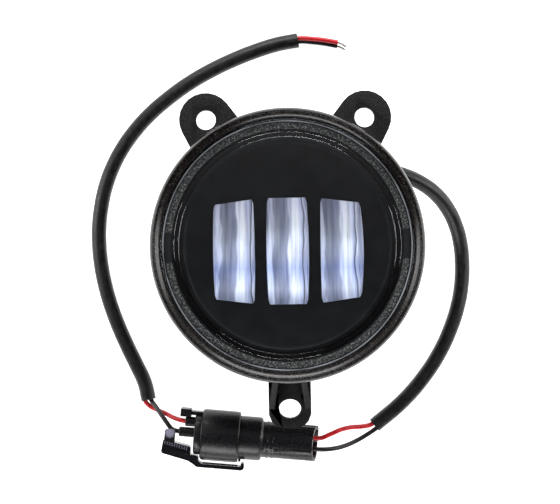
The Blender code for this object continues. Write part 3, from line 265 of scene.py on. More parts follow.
def grained(name, dark, light, grain, gloss=(0.35, 0.5), relief=0.2, metallic=0.0, depth=0.1):
    """A finish whose colour, roughness and relief follow one noise, its grain in millimetres."""
    material, tree, shader = material_of(name)
    place = node(tree, "ShaderNodeTexCoord").outputs["Object"]
    noise = node(tree, "ShaderNodeTexNoise", {"Vector": place, "Scale": 1 / (grain * MM), "Detail": 3})
    tone = node(tree, "ShaderNodeValToRGB", {"Fac": noise}, [(0.34, dark), (0.66, light)])
    rough = node(tree, "ShaderNodeMapRange", {
        "Value": noise, "From Min": 0.35, "From Max": 0.65, "To Min": gloss[0], "To Max": gloss[1]})
    bump = node(tree, "ShaderNodeBump", {"Height": noise, "Strength": relief, "Distance": depth * MM})
    for source, socket in ((tone, "Base Color"), (rough, "Roughness"), (bump, "Normal")):
        tree.links.new(source.outputs[0], shader.inputs[socket])
    shader.inputs["Metallic"].default_value = metallic
    return material


# Glass-filled PBT as moulded: near black, a satin skin broken by fine fibre speckle, drawn
# at 0.5 mm because the real 0.1 mm fibres are too fine to show
connector_pbt = grained("moulded_glass_filled_pbt", "060607", "17181c", 0.5, (0.26, 0.42), 0.35)

barrel, barrel_wall, collar, nose = 7.0, 1.4, 8.5, 6.6
plug_profile = [
    (0, 15), (nose - barrel_wall, 15), (nose - barrel_wall, 44), (nose - 0.3, 44), (nose, 43.7), (nose, 34.6),
    (collar - 0.6, 34.6), (collar - 0.15, 34.4), (collar, 34), (collar, 22.9), (collar - 0.2, 22.4),
    (collar - 0.7, 22), (barrel + 0.25, 22), (barrel, 21.7), (barrel, 0), (barrel - barrel_wall, 0),
    (barrel - barrel_wall, 12), (0, 12),
]
flat = Matrix.Diagonal((1, 1, OVAL, 1))
slant = Matrix.Translation((0, 0, barrel * MM)) @ Matrix.Rotation(radians(14), 4, "Y")
pin_slots = [("DIFFERENCE", block((11, y - 1.3, -0.7), (16, y + 1.3, 0.7))) for y in (-2.2, 2.2)]
grip_rings = []
for x in (17.2, 19.4):
    grip_ring = lathe([(6.6, x), (7.2, x + 0.15), (7.2, x + 0.85), (6.6, x + 1)], 96, True)
    grip_rings.append(("UNION", turned_to(grip_ring, flat @ ALONG_X)))
plug = built("plug_moulding", turned_to(lathe(plug_profile, 96), flat @ ALONG_X), [
    ("UNION", block((29.8, collar - 1, -2), (30.7, collar + 0.8, 2))),
    ("DIFFERENCE", turned_to(block((-20, -10, -30), (2.6, 10, 10)), slant)), *pin_slots, *grip_rings,
], edge=0.18)
plug.data.transform(CONNECTOR)
settle(plug, connector_pbt, "connector_plastic", "lamp", "plug_shell")

# Silicone wire and face seals: moulded orange rubber, matt, with a dusty bloom
orange_silicone = grained("orange_silicone", "a8481a", "cf6127", 0.9, (0.55, 0.75), 0.15)
# Tin plate on stamped brass: pale, soft and slightly mottled
tin_plate = grained("tin_plated_brass", "aaa79b", "d6d3c6", 0.8, (0.22, 0.4), 0.08, 1.0)


def coat(material, *names):
    """Give CAD nodes that are shown as they are their finish."""
    for name in names:
        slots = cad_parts[name].data.materials
        slots.clear()
        slots.append(material)


coat(orange_silicone, "plug_wire_seal", "socket_seal")
coat(tin_plate, "plug_pin_1", "plug_pin_2", "socket_terminal_1", "socket_terminal_2")

# --- Connector: the socket half on the adapter lead ----------------------------------------
# The same PBT: a hood over the plug's collar, a stepped back ring, two wire towers and a
# strap arm, moulded in one piece with a sprung latch beside the hood.
hood, ring, core = 10.0, 8.0, 4.6
socket_profile = [
    (0, 48.7), (ring - 0.8, 48.7), (ring - 0.2, 48.4), (ring, 47.9), (ring, 46), (hood - 1, 46),
    (hood - 0.3, 45.6), (hood, 44.8), (hood, 32.2), (hood - 0.12, 31.9), (hood - 0.12, 31.3),
    (hood - 0.4, 31), (8.9, 31), (8.9, 44.4), (core, 44.4), (core, 26), (0, 26),
]
towers = []
for y, end in ((-4.6, 52.6), (-0.4, 54.8)):
    tower = [(0, 48.2), (1.9, 48.2), (1.9, end - 0.3), (1.6, end), (0, end)]
    beside = Matrix.Translation((0, y * MM, 0)) @ ALONG_X
    towers.append(("UNION", turned_to(lathe(tower, 40), beside)))
    towers.append(("DIFFERENCE", turned_to(lathe([(0, 49.2), (1.3, 49.2), (1.3, 60), (0, 60)], 32), beside)))
nests = [("DIFFERENCE", block((25, y - 2.2, -1.6), (46.3, y + 2.2, 1.6))) for y in (-2.2, 2.2)]
socket = built("socket_moulding", turned_to(lathe(socket_profile, 112), flat @ ALONG_X), [
    *towers,
    ("UNION", block((45, -8.9, -2.6), (51, -7.5, 2.6))),
    ("UNION", block((50.4, -9.7, -3.2), (54.6, -6.7, 3.2))),
    *nests,
], edge=0.2)
socket.data.transform(CONNECTOR)
settle(socket, connector_pbt, "connector_plastic", "adapter_lead", "socket_shell")

# The latch: a sprung bail over the hood that hooks the plug's lug, and a thumb pad whose
# upper edge carries small teeth for grip. Rubbed smooth, so it shines more than the hood.
latch_outline = [
    (28.2, 10.2), (28.6, 9.8), (29.3, 9.8), (29.5, 10), (29.5, 10.8), (29.9, 11.2), (44.4, 11.2),
    (45.4, 11.0),
    (46.1, 10.4), (46.3, 9.6), (46.4, 8.9), (46.8, 8.5), (49.5, 8.2), (49.7, 5.6), (50.2, 4.9), (60.0, 3.0),
    (60.6, 3.3), (61, 7.6), (60.6, 8.3), (51.0, 10.3), (50.2, 10.5), (49.4, 10.9), (47.8, 11.8), (47.1, 12.4),
    (46.4, 12.6), (29.4, 12.6), (28.6, 12.3), (28.2, 11.6),
]
lobe = [(56.0, 3.9), (56.0, -0.6), (56.5, -1.2), (58.0, -1.4), (59.7, -1.2), (60.2, -0.6), (60.2, 3.1)]
groove = Matrix.Translation(Vector((55.4, 6.3, 3.6)) * MM) @ Matrix.Rotation(radians(-11), 4, "Z")
latch = built("latch_moulding", prism(latch_outline, -3.4, 3.4), [
    ("DIFFERENCE", block((30.8, 10.2, -2.1), (44.6, 13.6, 2.1))),
    ("UNION", prism(lobe, 2.1, 3.4)),
    ("DIFFERENCE", turned_to(block((-4.6, -0.9, -0.5), (4.6, 1.6, 0.5)), groove)),
], edge=0.3)
latch.data.transform(CONNECTOR)
latch_pbt = grained("rubbed_pbt_painted_lobe_highlight", "08080a", "1d1d23", 0.5, (0.12, 0.26), 0.2)
# A pale patch painted on top of the lobe stands in for its highlight
tree = latch_pbt.node_tree
place = node(tree, "ShaderNodeTexCoord").outputs["Object"]
lobe_top = tuple(CONNECTOR @ (Vector((58.1, 0, 3.4)) * MM))
from_lobe = node(tree, "ShaderNodeVectorMath", {0: place, 1: lobe_top}, operation="DISTANCE")
painted_highlight_share = node(tree, "ShaderNodeMapRange", {
    "Value": from_lobe.outputs["Value"],
    "From Min": 1.3 * MM, "From Max": 2.4 * MM, "To Min": 0.75, "To Max": 0})
shader = tree.nodes["Principled BSDF"]
lobe_highlight_mix = node(tree, "ShaderNodeMix", {"Factor": painted_highlight_share}, data_type="RGBA", blend_type="MIX")
tree.links.new(shader.inputs["Base Color"].links[0].from_socket, lobe_highlight_mix.inputs[6])
lobe_highlight_mix.inputs[7].default_value = linear("a9a9bf")
tree.links.new(lobe_highlight_mix.outputs[2], shader.inputs["Base Color"])
settle(latch, latch_pbt, "connector_plastic", "release_latch", "release_latch")


def growing(name, **inputs):
    """A geometry node tree with named inputs; returns it with its input and output nodes."""
    tree = bpy.data.node_groups.new(name, "GeometryNodeTree")
    tree.interface.new_socket("Geometry", in_out="INPUT", socket_type="NodeSocketGeometry")
    for key, kind in inputs.items():
        tree.interface.new_socket(key, in_out="INPUT", socket_type=f"NodeSocket{kind}")
    tree.interface.new_socket("Geometry", in_out="OUTPUT", socket_type="NodeSocketGeometry")
    return tree, node(tree, "NodeGroupInput"), node(tree, "NodeGroupOutput")


def end_tree(tree, geometry, given, result):
    """The tree's last steps: real meshes, all in the given material."""
    solid = node(tree, "GeometryNodeRealizeInstances", {"Geometry": geometry})
    coated = node(tree, "GeometryNodeSetMaterial", {"Geometry": solid, "Material": given.outputs["Material"]})
    tree.links.new(coated.outputs[0], result.inputs[0])


def grown(name, tree, base, **values):
    """A plain mesh object from a node tree run on a base mesh."""
    made = link(base, name)
    grow = made.modifiers.new("grow", "NODES")
    grow.node_group = tree
    for socket in tree.interface.items_tree:
        if socket.in_out == "INPUT" and socket.name in values:
            grow[socket.identifier] = values[socket.name]
    return link(shaded(evaluated(made)), name)


# Teeth: one rounded ridge, repeated along the pad's edge
tree, given, result = growing("ridge_row", Count="Int", Pitch="Vector", Material="Material")
row = node(tree, "GeometryNodeMeshLine", {"Count": given.outputs["Count"], "Offset": given.outputs["Pitch"]})
spots = node(tree, "GeometryNodeInstanceOnPoints", {"Points": row, "Instance": given.outputs["Geometry"]})
end_tree(tree, spots, given, result)
ridge_row = tree
# The teeth are painted paler than the pad, standing in for highlights along their serrations
tooth_pbt = grained("tooth_pbt_painted_highlight", "3c3c44", "77778a", 0.5, (0.14, 0.24), 0.1)
tooth = prism([(50.7, 5.1), (51.25, 5.0), (51.3, 6.2), (50.9, 6.3)], 3.35, 3.8)
TOOTH_COUNT, TOOTH_PITCH = 10, (0.97 * MM, -0.185 * MM, 0)
teeth = grown("latch_teeth", ridge_row, tooth, Count=TOOTH_COUNT, Pitch=TOOTH_PITCH, Material=tooth_pbt)
teeth.data.transform(CONNECTOR)
settle(teeth, tooth_pbt, "connector_plastic", "release_latch")

# --- Cords ---------------------------------------------------------------------------------
# Two-core cable in extruded black PVC, 5.8 mm, from the gland to the plug and again from
# the socket round the lamp to bare ends; cores of 1.8 mm in red and black PVC.
# PVC sheath as extruded: satin black with a faint mottle of handling and dust
cable_pvc = grained("extruded_black_pvc", "060607", "101012", 1.6, (0.36, 0.5), 0.12)
# Core insulation: glossier thin-wall PVC, the colour a little uneven where it is bent
red_pvc = grained("red_core_pvc", "bf1820", "dd2c33", 2.2, (0.26, 0.36), 0.06)
black_pvc = grained("black_core_pvc", "101012", "1f1f22", 1.4, (0.28, 0.42), 0.08)
CABLE, WIRE = 5.8, 1.8
GLAND_Y, GLAND_Z, GLAND_END = 28, 24.4, 36.4


def strung(name, points, diameter, material, slot, body, *replaced):
    """A cord as one smooth open curve through its points, in millimetres."""
    curve = bpy.data.curves.new(name, "CURVE")
    curve.dimensions = "3D"
    curve.bevel_depth = diameter / 2 * MM
    curve.bevel_resolution = 7
    curve.resolution_u = curve.render_resolution_u = 8
    curve.use_fill_caps = True
    spline = curve.splines.new("BEZIER")
    spline.bezier_points.add(len(points) - 1)
    for knot, where in zip(spline.bezier_points, points):
        knot.co = Vector(where) * MM
        knot.handle_left_type = knot.handle_right_type = "AUTO"
    made = link(curve, name)
    return settle(made, material, slot, body, *replaced)


def in_connector(x, y):
    """A point on the connector's middle plane, from its own axes to the lamp's, in millimetres."""
    return tuple(CONNECTOR @ Vector((x * MM, y * MM, 0)) / MM)


lamp_route = [
    (21, GLAND_Y, GLAND_Z), (27, GLAND_Y, GLAND_Z), (33, GLAND_Y, GLAND_Z), (39.5, 27.7, 24.2),
    (46, 26, 22.9), (52.2, 23.2, 20.4), (57.9, 19.2, 16.9), (62.7, 13.8, 12.8), (66.3, 7.2, 8.9),
    (68.5, -0.4, 5.8),
    (69.3, -8.6, 3.9), (68.9, -16.9, 3), (67.3, -25.1, 3), (64.3, -33.9, 3), (60, -42.9, 3), (53.8, -52.3, 3),
    (45, -62.2, 3), (33.5, -71.7, 3),
]
lamp_cable = strung("lamp_sheath", lamp_route, CABLE, cable_pvc, "cable_sheath", "lamp", "lamp_cable")

lamp_red = [
    (33.4, -70.4, 3.5), (32.5, -71.1, 3.6), (28.5, -71.9, 4.4), (24.2, -72, 5.6), (20.2, -72.7, 6.9),
    (15.6, -74.4, 8.2),
    in_connector(-0.6, -2.2), in_connector(4, -2.2), in_connector(10.5, -2.2),
]
lamp_black = [
    (35.1, -72.2, 2.5), (33.6, -73.4, 2.5), (30.2, -75.6, 2.2), (25.9, -77.8, 3.2), (20.6, -79.6, 5.4),
    (15.6, -80.2, 7.6),
    in_connector(-0.6, 2.2), in_connector(4, 2.2), in_connector(10.5, 2.2),
]
red_lead = strung("lamp_core_red", lamp_red, WIRE, red_pvc, "red_core", "lamp", "lamp_wire_red")
black_lead = strung("lamp_core_black", lamp_black, WIRE, black_pvc, "black_core", "lamp", "lamp_wire_black")

adapter_route = [
    (-55.9, -59.9, 3), (-57.4, -53, 3), (-60.5, -46, 3), (-64.3, -37.8, 3), (-67.6, -29.8, 3),
    (-70.3, -22, 3),
    (-72.3, -14.4, 3), (-73.7, -6.6, 3), (-74.4, 1.4, 3), (-74.3, 9.2, 3), (-73.3, 17, 3), (-71.6, 24.4, 3),
    (-68.9, 31.7, 3), (-65, 39.1, 3), (-59.9, 46.2, 3), (-53.5, 53.1, 3), (-46.1, 59.3, 3), (-38, 65, 3),
    (-29.3, 69.9, 3), (-20.2, 74.1, 3), (-10.9, 77.6, 3), (-2.4, 80.1, 3), (5.8, 81.5, 3),
]
adapter_cable = strung(
    "adapter_sheath", adapter_route, CABLE, cable_pvc, "cable_sheath", "adapter_lead", "adapter_cable")
short_cores = {
    "adapter_wire_red": [
        (-57.4, -59.3, 2.9), (-57.1, -60.7, 2.9), (-55.5, -62.5, 2.6), (-52.6, -64, 3.4),
        (-49, -65.4, 5.2), (-45.6, -66.9, 7.4),
        in_connector(52.6, -4.6), in_connector(51.2, -4.6), in_connector(50.1, -4.6)],
    "adapter_wire_black": [
        (-55.1, -58.7, 3.4), (-54.8, -60.1, 3.4), (-53.2, -62.2, 5), (-50.8, -65.4, 6.9),
        (-48.4, -68.7, 8.2), (-46.4, -71.1, 8.7),
        in_connector(54.8, -0.4), in_connector(53.4, -0.4), in_connector(50.1, -0.4)],
    "tail_wire_red": [
        (5, 82, 3.9), (6.4, 82.2, 3.9), (11.6, 82, 3), (16.6, 81.4, 3), (21.6, 80.4, 2.9)],
    "tail_wire_black": [
        (5, 80.9, 2.1), (6.4, 81.1, 2.1), (11.6, 80.9, 1.1), (16.6, 80.2, 1.1), (21.4, 79.2, 1.1)],
}
short_pieces = [
    strung(f"{name}_core", points, WIRE, red_pvc if name.endswith("red") else black_pvc,
           "red_core" if name.endswith("red") else "black_core", "adapter_lead", name)
    for name, points in short_cores.items()
]

# Stripped ends: seven tinned copper strands a core, twisted as they leave the insulation
tinned_copper = grained("tinned_copper_strand", "8f8a84", "d2cfc9", 0.4, (0.2, 0.4), 0.1, 1.0)
tree, given, result = growing(
    "twisted_strands", Strands="Int", Lay="Float", Twist="Float", Radius="Float", Material="Material")
even = node(tree, "GeometryNodeResampleCurve", {"Curve": given.outputs["Geometry"], "Count": 24})
copies = node(tree, "GeometryNodeDuplicateElements", {
    "Geometry": even, "Amount": given.outputs["Strands"]}, domain="SPLINE")
share = node(tree, "ShaderNodeMath", {0: copies.outputs["Duplicate Index"], 1: given.outputs["Strands"]},
             operation="DIVIDE")
along = node(tree, "GeometryNodeSplineParameter")
wound = node(tree, "ShaderNodeMath", {0: along.outputs["Factor"], 1: given.outputs["Twist"]},
             operation="MULTIPLY")
angle = node(tree, "ShaderNodeMath", {0: share, 1: 2 * pi, 2: wound}, operation="MULTIPLY_ADD")
across = node(tree, "GeometryNodeInputNormal")
tangent = node(tree, "GeometryNodeInputTangent")
offset = node(tree, "ShaderNodeVectorRotate", {
    "Vector": across.outputs["Normal"], "Axis": tangent, "Angle": angle}, rotation_type="AXIS_ANGLE")
away = node(tree, "ShaderNodeVectorMath", {0: offset, "Scale": given.outputs["Lay"]}, operation="SCALE")
moved = node(tree, "GeometryNodeSetPosition", {"Geometry": copies.outputs["Geometry"], "Offset": away})
section = node(tree, "GeometryNodeCurvePrimitiveCircle", {"Resolution": 8, "Radius": given.outputs["Radius"]})
tubes = node(tree, "GeometryNodeCurveToMesh", {"Curve": moved, "Profile Curve": section, "Fill Caps": True})
end_tree(tree, tubes, given, result)
strand_routes = {
    "tail_strands_red": [(21.2, 80.5, 2.9), (21.9, 80.3, 2.9), (23.4, 79.7, 2.3), (24.9, 78.8, 1.4)],
    "tail_strands_black": [(21.0, 79.3, 1.1), (21.7, 79.1, 1.1), (23.2, 78.5, 0.9), (24.4, 77.6, 0.7)],
}
for name, points in strand_routes.items():
    guide = bpy.data.curves.new(name, "CURVE")
    guide.dimensions = "3D"
    spline = guide.splines.new("BEZIER")
    spline.bezier_points.add(len(points) - 1)
    for knot, where in zip(spline.bezier_points, points):
        knot.co = Vector(where) * MM
        knot.handle_left_type = knot.handle_right_type = "AUTO"
    strands = grown(f"{name}_twist", tree, guide, Strands=7, Lay=0.3 * MM, Twist=5.0, Radius=0.16 * MM,
                    Material=tinned_copper)
    settle(strands, tinned_copper, "bare_strands", "adapter_lead", name)
    short_pieces.append(strands)

# --- Heat sink -----------------------------------------------------------------------------
# Die-cast aluminium, black anodised: a round base with thirteen parallel fins behind the
# lamp and an upright shelf that carries the LED board. Four screws pull it to the housing.


def eased_copy(node_name, edge):
    """A CAD node's solid with its facets joined and its corners eased, as a plain mesh."""
    shape = bmesh.new()
    shape.from_mesh(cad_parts[node_name].data)
    bmesh.ops.remove_doubles(shape, verts=shape.verts, dist=0.002 * MM)
    bmesh.ops.dissolve_limit(shape, angle_limit=radians(1), verts=shape.verts, edges=shape.edges)
    mesh = bpy.data.meshes.new(node_name)
    shape.to_mesh(mesh)
    shape.free()
    return built(f"{node_name}_shape", mesh, (), edge)


anodised = grained("black_anodised_casting", "1b1c1e", "303236", 0.9, (0.4, 0.6), 0.4, 0.55)
settle(eased_copy("heatsink", 0.2), anodised, "sink_metal", "lamp", "heatsink")

# Cut EPDM sheet between sink and housing: dull, slightly porous
epdm = grained("cut_epdm_rubber", "131314", "232325", 0.7, (0.75, 0.92), 0.3)
coat(epdm, "heatsink_gasket")

# Zinc-plated pan-head screws with a cross recess, driven by hand: bright with a grey bloom
zinc_plate = grained("zinc_plated_steel", "85888e", "c2c4c8", 0.7, (0.25, 0.42), 0.12, 1.0)


def cross_screw(shank, reach):
    """A pan-head screw along -Z with its underside at z = 0 and a cross cut in its head."""
    head, tall = 1.9 * shank, 1.4 * shank
    crown = [(head * sin(radians(a)), tall * (0.35 + 0.65 * cos(radians(a)))) for a in range(0, 90, 15)]
    pitch = 0.45 * shank
    rings = int((reach - shank) / pitch)
    thread = []
    for turn in range(rings):
        low = -shank * 0.4 - turn * pitch
        thread += [(shank, low), (shank, low - 0.25 * pitch), (0.86 * shank, low - 0.6 * pitch)]
    profile = [*crown, (head, 0.3 * tall), (head, 0), (shank, 0), *thread, (0.6 * shank, -reach), (0, -reach)]
    arm, wide = 1.15 * shank, 0.28 * shank
    cuts = [
        ("DIFFERENCE", block((-arm, -wide, 0.45 * tall), (arm, wide, 2 * tall))),
        ("DIFFERENCE", block((-wide, -arm, 0.45 * tall), (wide, arm, 2 * tall))),
    ]
    screw = built("screw", lathe(profile, 28), cuts)
    mesh = screw.data
    bpy.data.objects.remove(screw)
    return mesh


tree, given, result = growing("screw_set", Screw="Object", Turn="Rotation", Material="Material")
body = node(tree, "GeometryNodeObjectInfo", {"Object": given.outputs["Screw"]})
spots = node(tree, "GeometryNodeInstanceOnPoints", {
    "Points": given.outputs["Geometry"], "Instance": body.outputs["Geometry"],
    "Rotation": given.outputs["Turn"]})
end_tree(tree, spots, given, result)
screw_set = tree


def screws(name, shank, reach, turn, places, replaced):
    """Like screws set at their places, in millimetres, as one piece."""
    pattern = link(cross_screw(shank, reach), "screw_pattern")
    spots_mesh = bpy.data.meshes.new(name)
    spots_mesh.from_pydata([Vector(place) * MM for place in places], [], [])
    made = grown(name, screw_set, spots_mesh, Screw=pattern, Turn=turn, Material=zinc_plate)
    bpy.data.objects.remove(pattern)
    return settle(made, zinc_plate, "plated_steel", "lamp", *replaced)


HEAD_DOWN = (pi, 0, 0)
SINK_SHANK, SINK_REACH, SINK_CIRCLE, SINK_SEAT = 1.5, 13, 35, 11.7
sink_angles = [radians(15 + 90 * turn) for turn in range(4)]
screws("heatsink_screw_set", SINK_SHANK, SINK_REACH, HEAD_DOWN,
       [(SINK_CIRCLE * cos(a), SINK_CIRCLE * sin(a), SINK_SEAT) for a in sink_angles],
       [f"heatsink_screw_{number}" for number in (1, 2, 3, 4)])

# --- Housing -------------------------------------------------------------------------------
# Cast aluminium cup with two upper ears and a deeper lower one, shot-blasted and coated in a
# fine sand texture. The gland, the vent and the trim ring's screws are fixed to it.
sand_coat, tree, shader = material_of("sand_texture_powder_coat")
place = node(tree, "ShaderNodeTexCoord").outputs["Object"]
# Grit of about 0.3 mm, drawn at 0.45 mm so that it shows
grit = node(tree, "ShaderNodeTexNoise", {"Vector": place, "Scale": 1 / (0.45 * MM), "Detail": 2})
patch = node(tree, "ShaderNodeTexNoise", {"Vector": place, "Scale": 1 / (9 * MM)})
tone = node(tree, "ShaderNodeValToRGB", {"Fac": grit}, [(0.36, "040404"), (0.55, "0b0b0c"), (0.68, "2e2e31")])
rough = node(tree, "ShaderNodeMapRange", {"Value": patch, "To Min": 0.5, "To Max": 0.72})
shader.inputs["Specular IOR Level"].default_value = 0.3
bump = node(tree, "ShaderNodeBump", {"Height": grit, "Strength": 0.4, "Distance": 0.15 * MM})
for source, socket in ((tone, "Base Color"), (rough, "Roughness"), (bump, "Normal")):
    tree.links.new(source.outputs[0], shader.inputs[socket])
settle(eased_copy("housing", 0.35), sand_coat, "sand_coat", "lamp", "housing")

BEZEL_SHANK, BEZEL_REACH, BEZEL_CIRCLE, BEZEL_SEAT = 1.1, 9.5, 47.8, 41.7
bezel_angles = [radians(angle) for angle in (20, 160, 200, 340)]
screws("bezel_screw_set", BEZEL_SHANK, BEZEL_REACH, HEAD_DOWN,
       [(BEZEL_CIRCLE * cos(a), BEZEL_CIRCLE * sin(a), BEZEL_SEAT) for a in bezel_angles],
       [f"bezel_screw_{number}" for number in (1, 2, 3, 4)])

# --- Trim ring -----------------------------------------------------------------------------
# Turned aluminium, powder coated black with a warm cast: an inward slope down to the lens,
# a fine groove, a rounded crest and an eased outer edge. The coat is speckled with gloss.
ring_profile = [
    (46.4, 53.2), (46.4, 57.7), (46.5, 58.1), (46.8, 58.45), (47.3, 58.8), (48.0, 59.15), (48.15, 59.05),
    (48.3, 59.2), (48.55, 59.55), (48.75, 59.6), (49.15, 59.3), (49.45, 58.8), (49.75, 58.1), (49.93, 57.3),
    (50, 56.5), (50, 46.6), (49.8, 46.3), (45.6, 46.3), (45.6, 52.5),
]
trim_coat, tree, shader = material_of("black_powder_coated_aluminium")
place = node(tree, "ShaderNodeTexCoord").outputs["Object"]
# Orange peel of about 0.3 mm with scattered glossy specks, both drawn at twice their size so
# that they show
peel = node(tree, "ShaderNodeTexNoise", {"Vector": place, "Scale": 1 / (0.6 * MM), "Detail": 2})
speck = node(tree, "ShaderNodeTexVoronoi", {"Vector": place, "Scale": 1 / (0.7 * MM)})
tone = node(tree, "ShaderNodeValToRGB", {"Fac": peel}, [(0.35, "090808"), (0.58, "181412"), (0.72, "4c433e")])
rough = node(tree, "ShaderNodeMapRange", {
    "Value": speck.outputs["Distance"], "From Max": 0.6, "To Min": 0.1, "To Max": 0.26})
bump = node(tree, "ShaderNodeBump", {"Height": peel, "Strength": 0.3, "Distance": 0.1 * MM})
for source, socket in ((tone, "Base Color"), (rough, "Roughness"), (bump, "Normal")):
    tree.links.new(source.outputs[0], shader.inputs[socket])
settle(built("trim_ring", lathe(ring_profile, 256, True)), trim_coat, "powder_coat", "lamp", "bezel_ring")

# --- Lens ----------------------------------------------------------------------------------
# Injection-moulded clear polycarbonate with a hard coat: a low crown, a rolled shoulder and
# a flat flange that a grey silicone bead glues to the housing's rim.
CROWN_TOP, CROWN_DROP, CROWN_RADIUS, LENS_WALL = 60, 1.8, 39.5, 2.6


def crown(radius):
    """The height of the lens's outer face."""
    return CROWN_TOP - CROWN_DROP * (radius / CROWN_RADIUS) ** 2


steps = [CROWN_RADIUS * step / 24 for step in range(25)]
roll = [(40.7 + 0.9 * sin(radians(a)), 57.1 + 0.9 * cos(radians(a))) for a in range(5, 91, 17)]
lens_profile = [
    *[(radius, crown(radius)) for radius in steps], *roll, (41.7, 56.3), (41.9, 56.1), (44.9, 56.1),
    (45.15, 56.03), (45.35, 55.87), (45.47, 55.65), (45.5, 55.4),
    (45.5, 53.8), (45.3, 53.6), (40.7, 53.6), (40.3, 53.7), (40.05, 54.0), (39.95, 54.6), (39.9, 55.3),
    *[(radius, crown(radius) - LENS_WALL) for radius in steps[::-1]],
]
clear_pc, tree, shader = material_of("hard_coated_polycarbonate")
tree.nodes.remove(shader)
# Clear with a faint cool tint; only its gloss and edges show
through = node(tree, "ShaderNodeBsdfTransparent", {"Color": linear("f6f8fa")})
place = node(tree, "ShaderNodeTexCoord").outputs["Object"]
haze = node(tree, "ShaderNodeTexNoise", {"Vector": place, "Scale": 1 / (14 * MM)})
rough = node(tree, "ShaderNodeMapRange", {"Value": haze, "To Min": 0.02, "To Max": 0.06})
gloss = node(tree, "ShaderNodeBsdfAnisotropic", {"Color": linear("ffffff"), "Roughness": rough})
# Gloss by angle, the same from both sides: 4% facing and under half of it at the edge
facing = node(tree, "ShaderNodeLayerWeight", {"Blend": 0.5})
steep = node(tree, "ShaderNodeMath", {0: facing.outputs["Facing"], 1: 5.0}, operation="POWER")
share = node(tree, "ShaderNodeMath", {0: steep, 1: 0.4, 2: 0.04}, operation="MULTIPLY_ADD")
skin = node(tree, "ShaderNodeMixShader", {0: share, 1: through, 2: gloss})
# A pale matt band is painted on the moulding's outer corner in place of the bright highlight along its edge
at = node(tree, "ShaderNodeSeparateXYZ", {"Vector": place})
level = node(tree, "ShaderNodeCombineXYZ", {"X": at.outputs["X"], "Y": at.outputs["Y"]})
radius = node(tree, "ShaderNodeVectorMath", {0: level}, operation="LENGTH")
is_corner = node(tree, "ShaderNodeMath", {0: radius.outputs["Value"], 1: 45.12 * MM},
                 operation="GREATER_THAN")
patchy = node(tree, "ShaderNodeMapRange", {
    "Value": haze, "From Min": 0.35, "From Max": 0.65, "To Min": 0.15, "To Max": 0.6})
edge_highlight_share = node(tree, "ShaderNodeMath", {0: is_corner, 1: patchy}, operation="MULTIPLY")
painted_edge_highlight = node(tree, "ShaderNodeBsdfDiffuse", {"Color": linear("e4e6ea")})
edged = node(tree, "ShaderNodeMixShader", {0: edge_highlight_share, 1: skin, 2: painted_edge_highlight})
tree.links.new(edged.outputs[0], tree.nodes["Material Output"].inputs["Surface"])
settle(built("lens_moulding", lathe(lens_profile, 256)), clear_pc, "clear_lens", "lamp", "lens")

# The bead: grey silicone squeezed flat, speckled with a 0.2 mm filler that is drawn at 0.7 mm
# so that it shows, with a smooth dark locating tab at each side
TAB_HALF = 5.5 * MM
bead_rubber, tree, shader = material_of("grey_silicone_bead")
place = node(tree, "ShaderNodeTexCoord").outputs["Object"]
filler = node(tree, "ShaderNodeTexNoise", {"Vector": place, "Scale": 1 / (0.7 * MM), "Detail": 3})
tone = node(tree, "ShaderNodeValToRGB", {"Fac": filler},
            [(0.36, "252422"), (0.52, "595753"), (0.66, "a5a19a")])
sides = node(tree, "ShaderNodeSeparateXYZ", {"Vector": place})
from_middle = node(tree, "ShaderNodeMath", {0: sides.outputs["Y"]}, operation="ABSOLUTE")
is_tab = node(tree, "ShaderNodeMath", {0: from_middle, 1: TAB_HALF}, operation="LESS_THAN")
tab_tone = node(tree, "ShaderNodeMix", {"Factor": is_tab}, data_type="RGBA", blend_type="MIX")
tree.links.new(tone.outputs[0], tab_tone.inputs[6])
tab_tone.inputs[7].default_value = linear("1d1d1f")
bump = node(tree, "ShaderNodeBump", {"Height": filler, "Strength": 0.4, "Distance": 0.1 * MM})
tree.links.new(tab_tone.outputs[2], shader.inputs["Base Color"])
tree.links.new(bump.outputs[0], shader.inputs["Normal"])
shader.inputs["Roughness"].default_value = 0.6
bead_profile = [
    (42.5, 52.5), (42.7, 53.2), (43.4, 53.3), (44.3, 53.3), (44.8, 53.15), (44.9, 52.5), (44.7, 52.3),
    (42.7, 52.3),
]
bead = built("silicone_bead", lathe(bead_profile, 192, True))
settle(bead, bead_rubber, "grey_bead", "lamp", "lens_gasket")

# --- Mask ----------------------------------------------------------------------------------
# Black polycarbonate from a satin tool: a shallow dish with a raised lip, and three tall windows
# with soft corners in front of the reflectors.
WINDOW_HALF, WINDOW_TALL, WINDOW_PITCH, WINDOW_Y, BULGE = 7.8, 19.75, 19.6, -2.0, 1.8
BOWS = ((0.3, 0.2), (0.3, 0.4), (0.1, 0.65))
DISH_FLOOR, DISH_RISE, DISH_RADIUS, MASK_WALL = 47, 5, 37.8, 2


def window_outline(index, grow=0.0):
    """Top and bottom follow shallow arcs; the sides bow, most on the right."""
    shares = [1 - step / 12 for step in range(25)]
    outline = []
    for side, order in ((1, shares), (-1, shares[::-1])):
        for share in order:
            strength = BOWS[index + 1][side > 0]
            bow = WINDOW_HALF + grow - BULGE / 3 + strength * BULGE * (1 - share ** 2)
            corner = 0.7 * max(0.0, abs(share) - 0.93) / 0.07
            x = index * WINDOW_PITCH + side * (bow - corner ** 2)
            tall = WINDOW_TALL + grow - (x ** 2) / 290
            outline.append((x, WINDOW_Y + share * tall))
    return outline


def dish(radius):
    """The height of the mask's front face."""
    return DISH_FLOOR + DISH_RISE * (radius / DISH_RADIUS) ** 2


